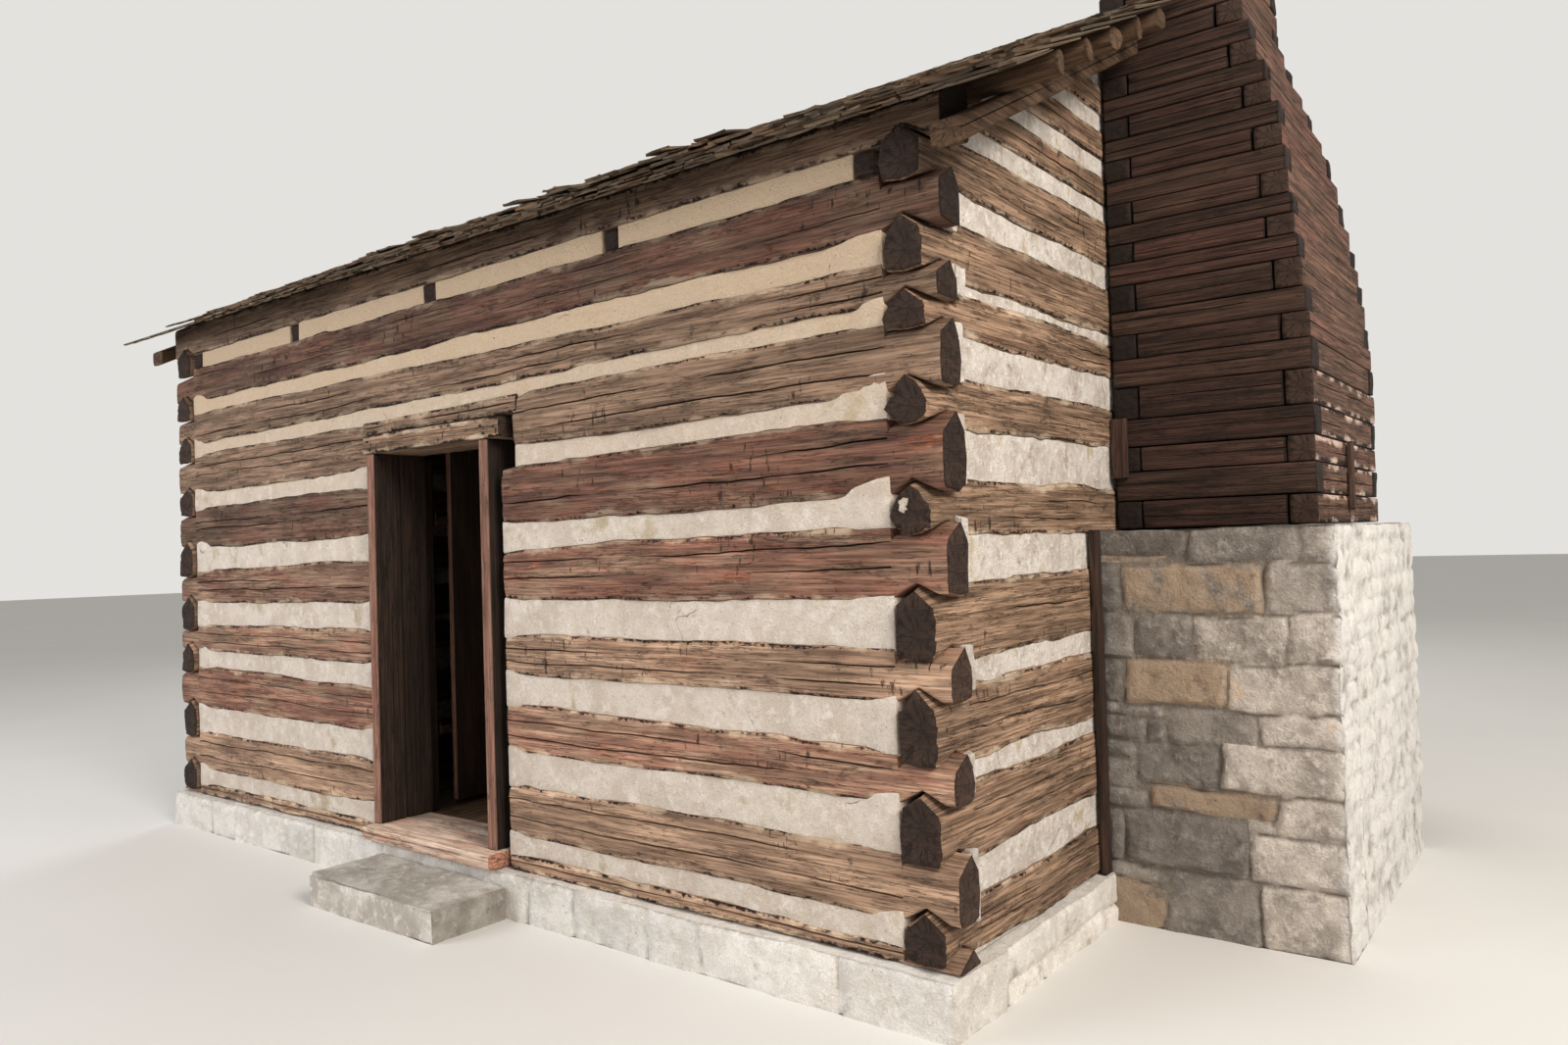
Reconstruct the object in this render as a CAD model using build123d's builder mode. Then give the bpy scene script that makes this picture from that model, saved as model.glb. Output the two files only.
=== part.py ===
from build123d import *
import os
from math import cos, radians, sin, tan

os.makedirs("parts", exist_ok=True)

# A one-room cabin of hewn logs, laid up with V-notched corners and clay between the logs,
# on a low stone foundation, with a stone chimney base that carries a stack of laid timbers.
# All sizes are millimetres. X runs along the front wall, Y from front to rear, Z up.
# The origin is on the ground, under the middle of the overall box.

# Log pen
pen_length = 5250
pen_depth = 4440
front_thick = 200
gable_thick = 170
front_overrun = 60
gable_overrun = 20
v_rise = 50

# Heights of the long-wall logs, bottom and top, at the left and the right corner.
# Each gable log fits between them by the rise of its notches.
left_sill = (200, 260)
right_sill = (200, 260)
left_logs = [(350, 570), (710, 960), (1050, 1210), (1330, 1530), (1660, 1900),
             (1985, 2220), (2290, 2480), (2540, 2740)]
right_logs = [(340, 570), (720, 890), (1050, 1230), (1390, 1640), (1730, 2000),
              (2070, 2310), (2360, 2500), (2600, 2800)]
cut_courses = 5
left_plate_bottom = 2830
right_plate_bottom = 2890
plate_top = 3015

# Clay between the logs
clay_recess = 15

# Foundation and step
foundation_height = 200
foundation_thick = 380
foundation_proud = 60
step_left = -445
step_right = 495
step_depth = 380
step_height = 160

# Doorway, measured from the middle of the pen
jamb_left_outer = -575
jamb_left_thick = 60
jamb_right_outer = 380
jamb_right_thick = 60
jamb_depth = 300
jamb_proud = 20
log_cut_right = 435
head_bottom = 2090
head_thick = 95
head_lap = 30
notch_play = 5
notch_spare = 100
threshold_thick = 70
threshold_lap = 35
threshold_proud = 30
post_width = 80
post_depth = 160

# Door leaf, which stands open at a right angle to the wall
leaf_thick = 30
leaf_lap = 30
leaf_head_lap = 40
leaf_foot_gap = 10
plank_count = 3
plank_gap = 3
leaf_clearance = 5
eye_radius = 14
pin_radius = 6.5
pin_play = 1
hinge_reach = 60
hinge_inset = 50
strap_thick = 6
strap_width = 40
strap_length = 520
strap_from_foot = 360
strap_from_head = 390
pin_height = 60
shank_height = 16
shank_width = 14
seat_play = 0.5
ledge_thick = 25
ledge_width = 110
ledge_inset = 130
ledge_end = 30
ledge_from_foot = 140
ledge_from_head = 170

# Floor and ceiling joists
floor_thick = 50
joist_width = 120
joist_from_left = 1340
joist_from_right = 1460
joist_count = 3
joist_setback = 8

# Roof
roof_pitch = 27
eave_overhang = 160
rake_overhang = 410
shake_butt = 35
shake_head = 14
shake_courses = 9
pole_diameter = 85
pole_count = 8
pole_first = 60
pole_setback = 30
ridge_pole_diameter = 110
rafter_width = 120
rafter_depth = 80
rafter_gap = 5
rafter_seat = 0.3

# Gable peaks
peak_logs = 5
peak_clay = 70

# Chimney base
base_depth = 930
base_width = 1820
base_height = 1600
cheek_width = 310
back_thick = 300
breast_thick = 175
hearth_top = 250

# Timber stack above it: the near side stands plumb, the outer and the far side step in
stack_gap = 5
stack_depth = 805
stack_width = 1320
timber_thick = 110
low_timber_heights = (120, 125, 105, 120, 140, 120, 104, 100, 116, 95, 85, 80, 95, 101)
high_timber_height = 90
high_timber_courses = 17
taper_rise = 700
taper_height = 900
stack_middle_depth = 715
throat_height = 550
stack_top_depth = 570
shoulder_rise = 1200
shoulder_height = 800
stack_top_width = 710
notch_clearance = 20
cleat_width = 45
cleat_thick = 22
cleat_height = 290
cleat_rise = 60
cleat_place = -60
board_width = 70
board_thick = 25
board_rise = 220
board_height = 260
strip_width = 60
strip_thick = 30

# Places worked out from the sizes above
pen_x = (rake_overhang - base_depth) / 2
step_front = pen_depth / 2 + foundation_proud + step_depth
run = pen_depth / 2 + eave_overhang
pitch_cos = cos(radians(roof_pitch))
pitch_sin = sin(radians(roof_pitch))
pen_y = (step_front - run - shake_butt * pitch_sin) / 2
left_face = pen_x - pen_length / 2
right_face = pen_x + pen_length / 2
front_face = pen_y - pen_depth / 2
rear_face = pen_y + pen_depth / 2
front_inner = front_face + front_thick
rear_inner = rear_face - front_thick
left_inner = left_face + gable_thick
right_inner = right_face - gable_thick
log_left = left_face - front_overrun
log_right = right_face + front_overrun
slope = tan(radians(roof_pitch))
front_courses = list(zip(left_logs, right_logs))
firebox_width = base_width - 2 * cheek_width
threshold_top = foundation_height + threshold_thick
head_top = head_bottom + head_thick
head_left = jamb_left_outer - head_lap
head_right = log_cut_right + head_lap
joist_step = (pen_length - joist_from_left - joist_from_right) / (joist_count - 1)
joist_places = [left_inner + joist_width / 2]
joist_places += [left_face + joist_from_left + i * joist_step for i in range(joist_count)]
joist_places += [right_inner - joist_width / 2]


def height_at(x, left_z, right_z):
    """Height at x on a line that is level over each corner joint and straight between them."""
    share = (x - left_inner) / (right_inner - left_inner)
    return left_z + (right_z - left_z) * min(max(share, 0), 1)


def add_prism(plane, points, amount):
    """Extrude a closed outline from its plane."""
    with BuildSketch(plane) as outline:
        with BuildLine():
            Polyline(*points, close=True)
        make_face()
    extrude(outline.sketch, amount=amount)


def add_block(x0, x1, y0, y1, z0, z1, mode=Mode.ADD):
    """Add a block between two opposite corners."""
    with Locations(((x0 + x1) / 2, (y0 + y1) / 2, (z0 + z1) / 2)):
        Box(x1 - x0, y1 - y0, z1 - z0, mode=mode)


def cut_crown(plane, middle, half, top, length):
    """Hew the top of a log end to a ridge that the crossing log above straddles."""
    with BuildSketch(plane) as waste:
        with BuildLine():
            Polyline(
                (middle - half, top - v_rise),
                (middle, top),
                (middle + half, top - v_rise),
                (middle + half, top + v_rise),
                (middle - half, top + v_rise),
                close=True,
            )
        make_face()
    extrude(waste.sketch, amount=length, mode=Mode.SUBTRACT)


def v_points(middle, half, bottom):
    """Outline of the notch in the underside of a log end."""
    return [(middle - half, bottom), (middle, bottom + v_rise), (middle + half, bottom)]


def long_log(face_y, course, x0, x1):
    """One log of the front or rear wall from x0 to x1, notched and crowned at the corners it reaches."""
    (left_bottom, left_top), (right_bottom, right_top) = course
    lower = [(x0, height_at(x0, left_bottom, right_bottom))]
    upper = [(x0, height_at(x0, left_top, right_top))]
    if x0 < left_inner:
        if left_bottom > foundation_height:
            lower += v_points(left_face + gable_thick / 2, gable_thick / 2, left_bottom)
        else:
            lower.append((left_inner, left_bottom))
        upper.append((left_inner, left_top))
    if x1 > right_inner:
        if right_bottom > foundation_height:
            lower += v_points(right_face - gable_thick / 2, gable_thick / 2, right_bottom)
        else:
            lower.append((right_inner, right_bottom))
        upper.append((right_inner, right_top))
    lower.append((x1, height_at(x1, left_bottom, right_bottom)))
    upper.append((x1, height_at(x1, left_top, right_top)))
    add_prism(Plane.XZ.offset(-face_y - front_thick), lower + upper[::-1], front_thick)
    joint = front_overrun + gable_thick
    middle = face_y + front_thick / 2
    if x0 < left_inner:
        cut_crown(Plane.YZ.offset(x0), middle, front_thick / 2, left_top, joint)
    if x1 > right_inner:
        cut_crown(Plane.YZ.offset(x1 - joint), middle, front_thick / 2, right_top, joint)


def gable_heights(courses, sill, plate_bottom):
    """Bottom and top of each gable log, from the long-wall logs under and over it."""
    tops = [sill[1]] + [log[1] for log in courses]
    bottoms = [log[0] for log in courses] + [plate_bottom]
    return [(top - v_rise, bottom + v_rise) for top, bottom in zip(tops, bottoms)]


left_gable = gable_heights(left_logs, left_sill, left_plate_bottom)
right_gable = gable_heights(right_logs, right_sill, right_plate_bottom)
firebox_courses = 3
firebox_top = right_gable[firebox_courses][0]


def gable_log(face_x, heights, y0, y1):
    """One log of a gable wall from y0 to y1, notched and crowned at the corners it reaches."""
    bottom, top = heights
    lower = [(y0, bottom)]
    if y0 < front_inner:
        lower += v_points(front_face + front_thick / 2, front_thick / 2, bottom)
    if y1 > rear_inner:
        lower += v_points(rear_face - front_thick / 2, front_thick / 2, bottom)
    lower.append((y1, bottom))
    add_prism(Plane.YZ.offset(face_x), lower + [(y1, top), (y0, top)], gable_thick)
    joint = gable_overrun + front_thick
    middle = face_x + gable_thick / 2
    if y0 < front_inner:
        cut_crown(Plane.XZ.offset(-y0 - joint), middle, gable_thick / 2, top, joint)
    if y1 > rear_inner:
        cut_crown(Plane.XZ.offset(-y1), middle, gable_thick / 2, top, joint)


def roof_under(y):
    """Height of the underside of the shakes at y, on either slope."""
    return plate_top + (pen_depth / 2 - abs(y - pen_y)) * slope


def clay_strip(face_y, below, above, x0, x1):
    """Clay between two long-wall logs from x0 to x1, set back from both faces."""
    points = [
        (x0, height_at(x0, below[0][1], below[1][1])),
        (x1, height_at(x1, below[0][1], below[1][1])),
        (x1, height_at(x1, above[0][0], above[1][0])),
        (x0, height_at(x0, above[0][0], above[1][0])),
    ]
    plane = Plane.XZ.offset(-face_y - front_thick + clay_recess)
    add_prism(plane, points, front_thick - 2 * clay_recess)


sill = (left_sill, right_sill)
plate = ((left_plate_bottom, 0), (right_plate_bottom, 0))
lower_courses = [sill] + front_courses[:cut_courses]
upper_courses = front_courses[cut_courses:]
all_courses = [sill] + front_courses
log_ends_left = pen_x + jamb_left_outer
log_ends_right = pen_x + log_cut_right

# Foundation walls of laid stone, a little proud of the logs
found_left = left_face - foundation_proud
found_right = right_face + foundation_proud
found_front = front_face - foundation_proud
found_rear = rear_face + foundation_proud

with BuildPart() as foundation_front:
    add_block(found_left, found_right, found_front, found_front + foundation_thick, 0, foundation_height)

with BuildPart() as foundation_rear:
    add_block(found_left, found_right, found_rear - foundation_thick, found_rear, 0, foundation_height)

side_front = found_front + foundation_thick
side_rear = found_rear - foundation_thick
with BuildPart() as foundation_left:
    add_block(found_left, found_left + foundation_thick, side_front, side_rear, 0, foundation_height)

fire_front = pen_y - firebox_width / 2
fire_rear = pen_y + firebox_width / 2
with BuildPart() as foundation_right:
    add_block(found_right - foundation_thick, found_right, side_front, fire_front, 0, foundation_height)
    add_block(found_right - foundation_thick, found_right, fire_rear, side_rear, 0, foundation_height)

with BuildPart() as step_stone:
    add_block(pen_x + step_left, pen_x + step_right, found_front - step_depth, found_front, 0, step_height)

# Front wall logs: cut at the doorway below, whole above it
with BuildPart() as front_logs_left:
    for course in lower_courses:
        long_log(front_face, course, log_left, log_ends_left)

with BuildPart() as front_logs_right:
    for course in lower_courses:
        long_log(front_face, course, log_ends_right, log_right)

with BuildPart() as front_logs_upper:
    for course in upper_courses:
        long_log(front_face, course, log_left, log_right)
    add_block(pen_x + head_left - notch_play, pen_x + head_right + notch_spare, front_face, front_inner,
              height_at(pen_x, *[z[0] for z in upper_courses[0]]) - v_rise, head_top, Mode.SUBTRACT)

# Rear wall logs, whole from corner to corner
with BuildPart() as rear_logs:
    for course in all_courses:
        long_log(rear_inner, course, log_left, log_right)


def wall_plate(face_y, outer_y):
    """The top log of a long wall, hewn to the slope of the roof."""
    outline = [(log_left, left_plate_bottom)]
    outline += v_points(left_face + gable_thick / 2, gable_thick / 2, left_plate_bottom)
    outline += v_points(right_face - gable_thick / 2, gable_thick / 2, right_plate_bottom)
    outline += [(log_right, right_plate_bottom)]
    inner_top = plate_top + front_thick * slope
    outline += [(log_right, inner_top), (log_left, inner_top)]
    add_prism(Plane.XZ.offset(-face_y - front_thick), outline, front_thick)
    inner_y = 2 * face_y + front_thick - outer_y
    wedge = [(outer_y, plate_top), (inner_y, inner_top), (outer_y, inner_top)]
    with BuildSketch(Plane.YZ.offset(log_left)) as waste:
        with BuildLine():
            Polyline(*wedge, close=True)
        make_face()
    extrude(waste.sketch, amount=log_right - log_left, mode=Mode.SUBTRACT)


with BuildPart() as front_plate:
    wall_plate(front_face, front_face)

with BuildPart() as rear_plate:
    wall_plate(rear_inner, rear_face)

# Gable wall logs
gable_front = front_face - gable_overrun
gable_rear = rear_face + gable_overrun
with BuildPart() as left_gable_logs:
    for heights in left_gable:
        gable_log(left_face, heights, gable_front, gable_rear)

with BuildPart() as right_gable_logs_lower:
    for heights in right_gable[:firebox_courses]:
        gable_log(right_inner, heights, gable_front, fire_front)
        gable_log(right_inner, heights, fire_rear, gable_rear)

with BuildPart() as right_gable_logs_upper:
    for heights in right_gable[firebox_courses:]:
        gable_log(right_inner, heights, gable_front, gable_rear)


# Gable peaks: logs cut to the slope, up to the underside of the roof poles
pole_drop = pole_diameter / pitch_cos


def peak_half(z):
    """Half the width of the gable peak at height z, under the roof poles."""
    return pen_depth / 2 - (z + pole_drop - plate_top) / slope


def peak_levels(first):
    """Bottom and top of each peak log between the wall's last log and the ridge pole."""
    last = roof_under(pen_y) - ridge_pole_diameter - pole_drop
    pitch_height = (last + peak_clay - first) / peak_logs
    return [(first + i * pitch_height, first + (i + 1) * pitch_height - peak_clay)
            for i in range(peak_logs)]


def peak_piece(face_x, thick, z0, z1):
    """One trapezoid course of a gable peak."""
    half0 = min(peak_half(z0), pen_depth / 2 - front_thick)
    half1 = min(peak_half(z1), pen_depth / 2 - front_thick)
    kink = plate_top + front_thick * slope - pole_drop
    points = [(pen_y - half0, z0), (pen_y + half0, z0)]
    if z0 < kink < z1:
        points.append((pen_y + half0, kink))
    points += [(pen_y + half1, z1), (pen_y - half1, z1)]
    if z0 < kink < z1:
        points.append((pen_y - half0, kink))
    add_prism(Plane.YZ.offset(face_x), points, thick)


left_peak_first = left_gable[-1][1] + peak_clay
right_peak_first = right_gable[-1][1] + peak_clay

with BuildPart() as left_peak_logs:
    for z0, z1 in peak_levels(left_peak_first):
        peak_piece(left_face, gable_thick, z0, z1)

with BuildPart() as right_peak_logs:
    for z0, z1 in peak_levels(right_peak_first):
        peak_piece(right_inner, gable_thick, z0, z1)


# Clay between the logs of each wall
def joist_outline(place):
    """Outline of one ceiling joist, between the last log and the plate."""
    x0 = place - joist_width / 2
    x1 = x0 + joist_width
    below = (left_logs[-1][1], right_logs[-1][1])
    above = (left_plate_bottom, right_plate_bottom)
    return [(x0, height_at(x0, *below)), (x1, height_at(x1, *below)),
            (x1, height_at(x1, *above)), (x0, height_at(x0, *above))]


def long_clay(face_y, pairs, x0, x1):
    """All the clay strips of a wall between x0 and x1."""
    for below, above in pairs:
        clay_strip(face_y, below, above, x0, x1)


def top_clay(face_y):
    """Clay under a plate, in lengths between the joists."""
    for here, after in zip(joist_places, joist_places[1:]):
        clay_strip(face_y, front_courses[-1], plate, here + joist_width / 2, after - joist_width / 2)


lower_pairs = list(zip(lower_courses, lower_courses[1:] + [upper_courses[0]]))
upper_pairs = list(zip(upper_courses, upper_courses[1:]))

with BuildPart() as front_clay:
    long_clay(front_face, lower_pairs, left_inner, log_ends_left)
    long_clay(front_face, lower_pairs, log_ends_right, right_inner)
    long_clay(front_face, upper_pairs, left_inner, right_inner)
    top_clay(front_face)

with BuildPart() as rear_clay:
    long_clay(rear_inner, list(zip(all_courses, all_courses[1:])), left_inner, right_inner)
    top_clay(rear_inner)


def gable_clay_gaps(gable):
    """Bottom and top of each gap between gable logs, from the foundation up."""
    tops = [foundation_height] + [log[1] for log in gable[:-1]]
    return [(top, log[0]) for top, log in zip(tops, gable)]


def peak_clay_strips(face_x, gable, first):
    """Clay between the courses of a gable peak."""
    levels = peak_levels(first)
    lows = [gable[-1][1]] + [z1 for _, z1 in levels[:-1]]
    for low, (high, _) in zip(lows, levels):
        peak_piece(face_x + clay_recess, gable_thick - 2 * clay_recess, low, high)


with BuildPart() as left_gable_clay:
    for z0, z1 in gable_clay_gaps(left_gable):
        add_block(left_face + clay_recess, left_inner - clay_recess, front_inner, rear_inner, z0, z1)
    peak_clay_strips(left_face, left_gable, left_peak_first)

with BuildPart() as right_gable_clay:
    for i, (z0, z1) in enumerate(gable_clay_gaps(right_gable)):
        x0, x1 = right_inner + clay_recess, right_face - clay_recess
        if i < firebox_courses:
            add_block(x0, x1, front_inner, fire_front, z0, z1)
            add_block(x0, x1, fire_rear, rear_inner, z0, z1)
        elif i == firebox_courses:
            add_block(x0, x1, front_inner, fire_front, z0, z1)
            add_block(x0, x1, fire_rear, rear_inner, z0, z1)
        else:
            add_block(x0, x1, front_inner, rear_inner, z0, z1)
    peak_clay_strips(right_inner, right_gable, right_peak_first)

# Door frame
jamb_front = front_face - jamb_proud
jamb_back = jamb_front + jamb_depth
jamb_left_inner = jamb_left_outer + jamb_left_thick
jamb_right_inner = jamb_right_outer - jamb_right_thick
threshold_right = pen_x + jamb_right_outer + threshold_lap

with BuildPart() as threshold:
    add_block(log_ends_left, threshold_right, found_front - threshold_proud, jamb_back,
              foundation_height, threshold_top)

with BuildPart() as door_jamb_left:
    add_block(pen_x + jamb_left_outer, pen_x + jamb_left_inner, jamb_front, jamb_back,
              threshold_top, head_bottom)

with BuildPart() as door_jamb_right:
    add_block(pen_x + jamb_right_inner, pen_x + jamb_right_outer, jamb_front, jamb_back,
              threshold_top, head_bottom)

with BuildPart() as door_head:
    add_block(pen_x + head_left, pen_x + head_right, jamb_front, jamb_back, head_bottom, head_top)

# Inside stand the post that the door hangs on, against the log ends, and the post that it shuts against
floor_top = foundation_height + floor_thick
post_back = front_inner + post_depth
with BuildPart() as door_post:
    add_block(log_ends_left - post_width, log_ends_left, front_inner, post_back, floor_top, head_bottom)
    add_block(pen_x + jamb_right_inner, pen_x + jamb_right_outer, jamb_back, post_back,
              floor_top, head_bottom)

# Floor, with the threshold let into it
with BuildPart() as floor:
    add_block(left_inner, right_inner, front_inner, rear_inner, foundation_height, floor_top)
    add_block(log_ends_left, threshold_right, front_inner, jamb_back,
              foundation_height, floor_top, Mode.SUBTRACT)

# Door leaf and its hinges, modelled as it stands open
hinge_x = log_ends_left - hinge_inset
hinge_y = post_back + leaf_clearance + leaf_thick + eye_radius
leaf_inner = hinge_x + eye_radius
leaf_outer = leaf_inner + leaf_thick
leaf_start = hinge_y + hinge_reach
leaf_width = pen_x + jamb_right_inner + leaf_lap - hinge_x - hinge_reach
leaf_bottom = threshold_top + leaf_foot_gap
leaf_top = head_bottom + leaf_head_lap
ledge_low = leaf_bottom + ledge_from_foot
ledge_high = leaf_top - ledge_from_head
ledge_levels = (ledge_low, (ledge_low + ledge_high) / 2, ledge_high)
strap_levels = (leaf_bottom + strap_from_foot, leaf_top - strap_from_head)
plank_width = (leaf_width - (plank_count - 1) * plank_gap) / plank_count

with BuildPart() as door_planks:
    for i in range(plank_count):
        y0 = leaf_start + i * (plank_width + plank_gap)
        add_block(leaf_inner, leaf_outer, y0, y0 + plank_width, leaf_bottom, leaf_top)

with BuildPart() as door_ledges:
    for level in ledge_levels:
        add_block(leaf_inner - ledge_thick, leaf_inner, leaf_start + ledge_inset,
                  leaf_start + leaf_width - ledge_end, level - ledge_width / 2, level + ledge_width / 2)

with BuildPart() as door_straps:
    for level in strap_levels:
        with BuildSketch(Plane.XY.offset(level)):
            with Locations((hinge_x, hinge_y)):
                Circle(eye_radius)
            with Locations((leaf_inner - strap_thick / 2, hinge_y + strap_length / 2)):
                Rectangle(strap_thick, strap_length)
            with Locations((hinge_x, hinge_y)):
                Circle(pin_radius + pin_play, mode=Mode.SUBTRACT)
        extrude(amount=strap_width)

with BuildPart() as door_pintles:
    for level in strap_levels:
        shank_top = level - seat_play
        add_block(hinge_x - shank_width / 2, hinge_x + shank_width / 2, post_back,
                  hinge_y + shank_width / 2, shank_top - shank_height, shank_top)
        with BuildSketch(Plane.XY.offset(shank_top)):
            with Locations((hinge_x, hinge_y)):
                Circle(pin_radius)
        extrude(amount=pin_height)

# Ceiling joists, bedded between the last log and the plate of each long wall
with BuildPart() as ceiling_joists:
    for place in joist_places:
        add_prism(Plane.XZ.offset(joist_setback - rear_face), joist_outline(place),
                  rear_face - front_face - 2 * joist_setback)

# Roof frame: round poles from rake to rake, on the gables and on sloping rake rafters
pole_half = pole_diameter / 2
pole_last = pen_depth / 2 - front_thick - pole_first
pole_inner = ridge_pole_diameter + pole_diameter


# The roof's right-hand overhang stops on both sides of the stack
stack_front = pen_y - stack_width / 2
notch_ends = {
    1: stack_width / 2 + notch_clearance,
    -1: stack_top_width - stack_width / 2 + notch_clearance,
}
pole_places = [pole_last - i * (pole_last - pole_inner) / (pole_count - 1) for i in range(pole_count)]
rake_left = left_face - rake_overhang
rake_right = right_face + rake_overhang

with BuildPart() as roof_poles:
    for offset in pole_places:
        for side in (-1, 1):
            y = pen_y + side * offset
            z = roof_under(y) - pole_half / pitch_cos
            end = rake_right - pole_setback if offset - pole_half > notch_ends[-side] else right_face
            with BuildSketch(Plane.YZ.offset(rake_left + pole_setback)):
                with Locations((y, z)):
                    RegularPolygon(pole_half, 8, major_radius=False, rotation=22.5 - side * roof_pitch)
            extrude(amount=end - rake_left - pole_setback)

ridge_half = ridge_pole_diameter / 2
with BuildPart() as ridge_pole:
    with BuildSketch(Plane.YZ.offset(rake_left + pole_setback)):
        ridge_z = roof_under(pen_y) - ridge_half / pitch_cos
        with Locations((pen_y, ridge_z)):
            Circle(ridge_half)
    extrude(amount=right_face - rake_left - pole_setback)


def rake_rafter(x0, side, inner):
    """One sloping timber under the pole ends, from the eave up to inner from the ridge."""
    outer = pen_depth / 2 + eave_overhang / 2
    depth = rafter_depth / pitch_cos

    def under(offset):
        return roof_under(pen_y + offset) - pole_drop

    points = [
        (pen_y + side * outer, under(outer)),
        (pen_y + side * inner, under(inner)),
        (pen_y + side * inner, under(inner) - depth),
        (pen_y + side * outer, under(outer) - depth),
    ]
    add_prism(Plane.YZ.offset(x0), points, rafter_width)


with BuildPart() as rake_rafters:
    for side in (-1, 1):
        rake_rafter(left_face - rafter_width - front_overrun - rafter_gap, side, ridge_half + rafter_seat)
        rake_rafter(right_face + front_overrun + rafter_gap, side, notch_ends[-side])


# Roof covering: stepped courses of split shakes on each slope
def slope_point(side, s, t):
    """Point s up the slope from the eave and t out from the underside of the shakes."""
    y = -run + s * pitch_cos - t * pitch_sin
    z = plate_top - eave_overhang * slope + s * pitch_sin + t * pitch_cos
    return (pen_y + side * y, z)


def shake_slope(side, x0, x1, run_end):
    """Stepped slope between x0 and x1, from the eave to run_end short of the ridge line."""
    length = run / pitch_cos
    exposure = length / shake_courses
    reach = (run - run_end) / pitch_cos
    points = [slope_point(side, 0, 0)]
    for i in range(shake_courses):
        low, high = i * exposure, (i + 1) * exposure
        if low >= reach:
            break
        points.append(slope_point(side, low, shake_butt))
        if high < reach - 1:
            points.append(slope_point(side, high, shake_head))
        else:
            share = (reach - low) / exposure
            thick = shake_butt + (shake_head - shake_butt) * share
            points.append(slope_point(side, reach + thick * pitch_sin / pitch_cos, thick))
    points.append(slope_point(side, reach, 0))
    add_prism(Plane.YZ.offset(x0), points, x1 - x0)


with BuildPart() as roof_front:
    shake_slope(1, rake_left, right_face, 0)

with BuildPart() as roof_rear:
    shake_slope(-1, rake_left, right_face, 0)

with BuildPart() as roof_rake_front:
    shake_slope(1, right_face, rake_right, notch_ends[1])

with BuildPart() as roof_rake_rear:
    shake_slope(-1, right_face, rake_right, notch_ends[-1])

# Chimney base of laid stone round an open firebox
base_out = right_face + base_depth
fire_back = base_out - back_thick
with BuildPart() as chimney_hearth:
    add_block(right_inner, fire_back, fire_front, fire_rear, 0, hearth_top)

with BuildPart() as chimney_back:
    add_block(fire_back, base_out, fire_front, fire_rear, 0, base_height)

with BuildPart() as chimney_breast:
    add_block(right_face, right_face + breast_thick, fire_front, fire_rear, firebox_top, base_height)

cheek_outline = [
    (found_right, 0), (base_out, 0), (base_out, base_height), (right_face, base_height),
    (right_face, foundation_height), (found_right, foundation_height),
]
with BuildPart() as chimney_cheeks:
    add_prism(Plane.XZ.offset(-fire_front), cheek_outline, cheek_width)
    add_prism(Plane.XZ.offset(-fire_rear - cheek_width), cheek_outline, cheek_width)


# Stack of laid timbers, each course a closed ring with its long pairs turned by the course
timber_heights = list(low_timber_heights) + [high_timber_height] * high_timber_courses
timber_bottoms = [base_height + sum(timber_heights[:i]) for i in range(len(timber_heights))]
taper_start = base_height + taper_rise
taper_middle = taper_start + taper_height
shoulder_start = base_height + shoulder_rise
depth_profile = [(taper_start, stack_depth), (taper_middle, stack_middle_depth),
                 (taper_middle + throat_height, stack_top_depth)]
width_profile = [(shoulder_start, stack_width), (shoulder_start + shoulder_height, stack_top_width)]


def stack_size(z, profile):
    """Size of the stack at height z, on straight lines between the points of a profile."""
    for (low, first), (high, last) in zip(profile, profile[1:]):
        if z <= high:
            return first + (last - first) * max(z - low, 0) / (high - low)
    return profile[-1][1]


def add_timbers(courses, along_x, is_long):
    """The pair of timbers of each course that runs along X or along Y."""
    inset = 0 if is_long else timber_thick
    for course in courses:
        z0 = timber_bottoms[course]
        z1 = z0 + timber_heights[course]
        x0 = right_face + stack_gap
        x1 = x0 + stack_size(z0, depth_profile)
        y0 = stack_front
        y1 = y0 + stack_size(z0, width_profile)
        if along_x:
            add_block(x0 + inset, x1 - inset, y0, y0 + timber_thick, z0, z1)
            add_block(x0 + inset, x1 - inset, y1 - timber_thick, y1, z0, z1)
        else:
            add_block(x0, x0 + timber_thick, y0 + inset, y1 - inset, z0, z1)
            add_block(x1 - timber_thick, x1, y0 + inset, y1 - inset, z0, z1)


cross_courses = range(0, len(timber_heights), 2)
side_courses = range(1, len(timber_heights), 2)
with BuildPart() as stack_cross_timbers:
    add_timbers(cross_courses, False, True)

with BuildPart() as stack_side_fillers:
    add_timbers(cross_courses, True, False)

with BuildPart() as stack_side_timbers:
    add_timbers(side_courses, True, True)

with BuildPart() as stack_cross_fillers:
    add_timbers(side_courses, False, False)

# Small boards nailed to the stack and in the corner by the wall
with BuildPart() as stack_cleat:
    stack_out = right_face + stack_gap + stack_depth
    add_block(stack_out, stack_out + cleat_thick, pen_y + cleat_place - cleat_width / 2,
              pen_y + cleat_place + cleat_width / 2,
              base_height + cleat_rise, base_height + cleat_rise + cleat_height)

with BuildPart() as stack_corner_board:
    add_block(right_face, right_face + board_width, stack_front - board_thick, stack_front,
              base_height + board_rise, base_height + board_rise + board_height)

with BuildPart() as wall_joint_strip:
    strip_back = pen_y - base_width / 2
    add_block(right_face, right_face + strip_thick, strip_back - strip_width, strip_back,
              foundation_height, base_height)

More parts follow.
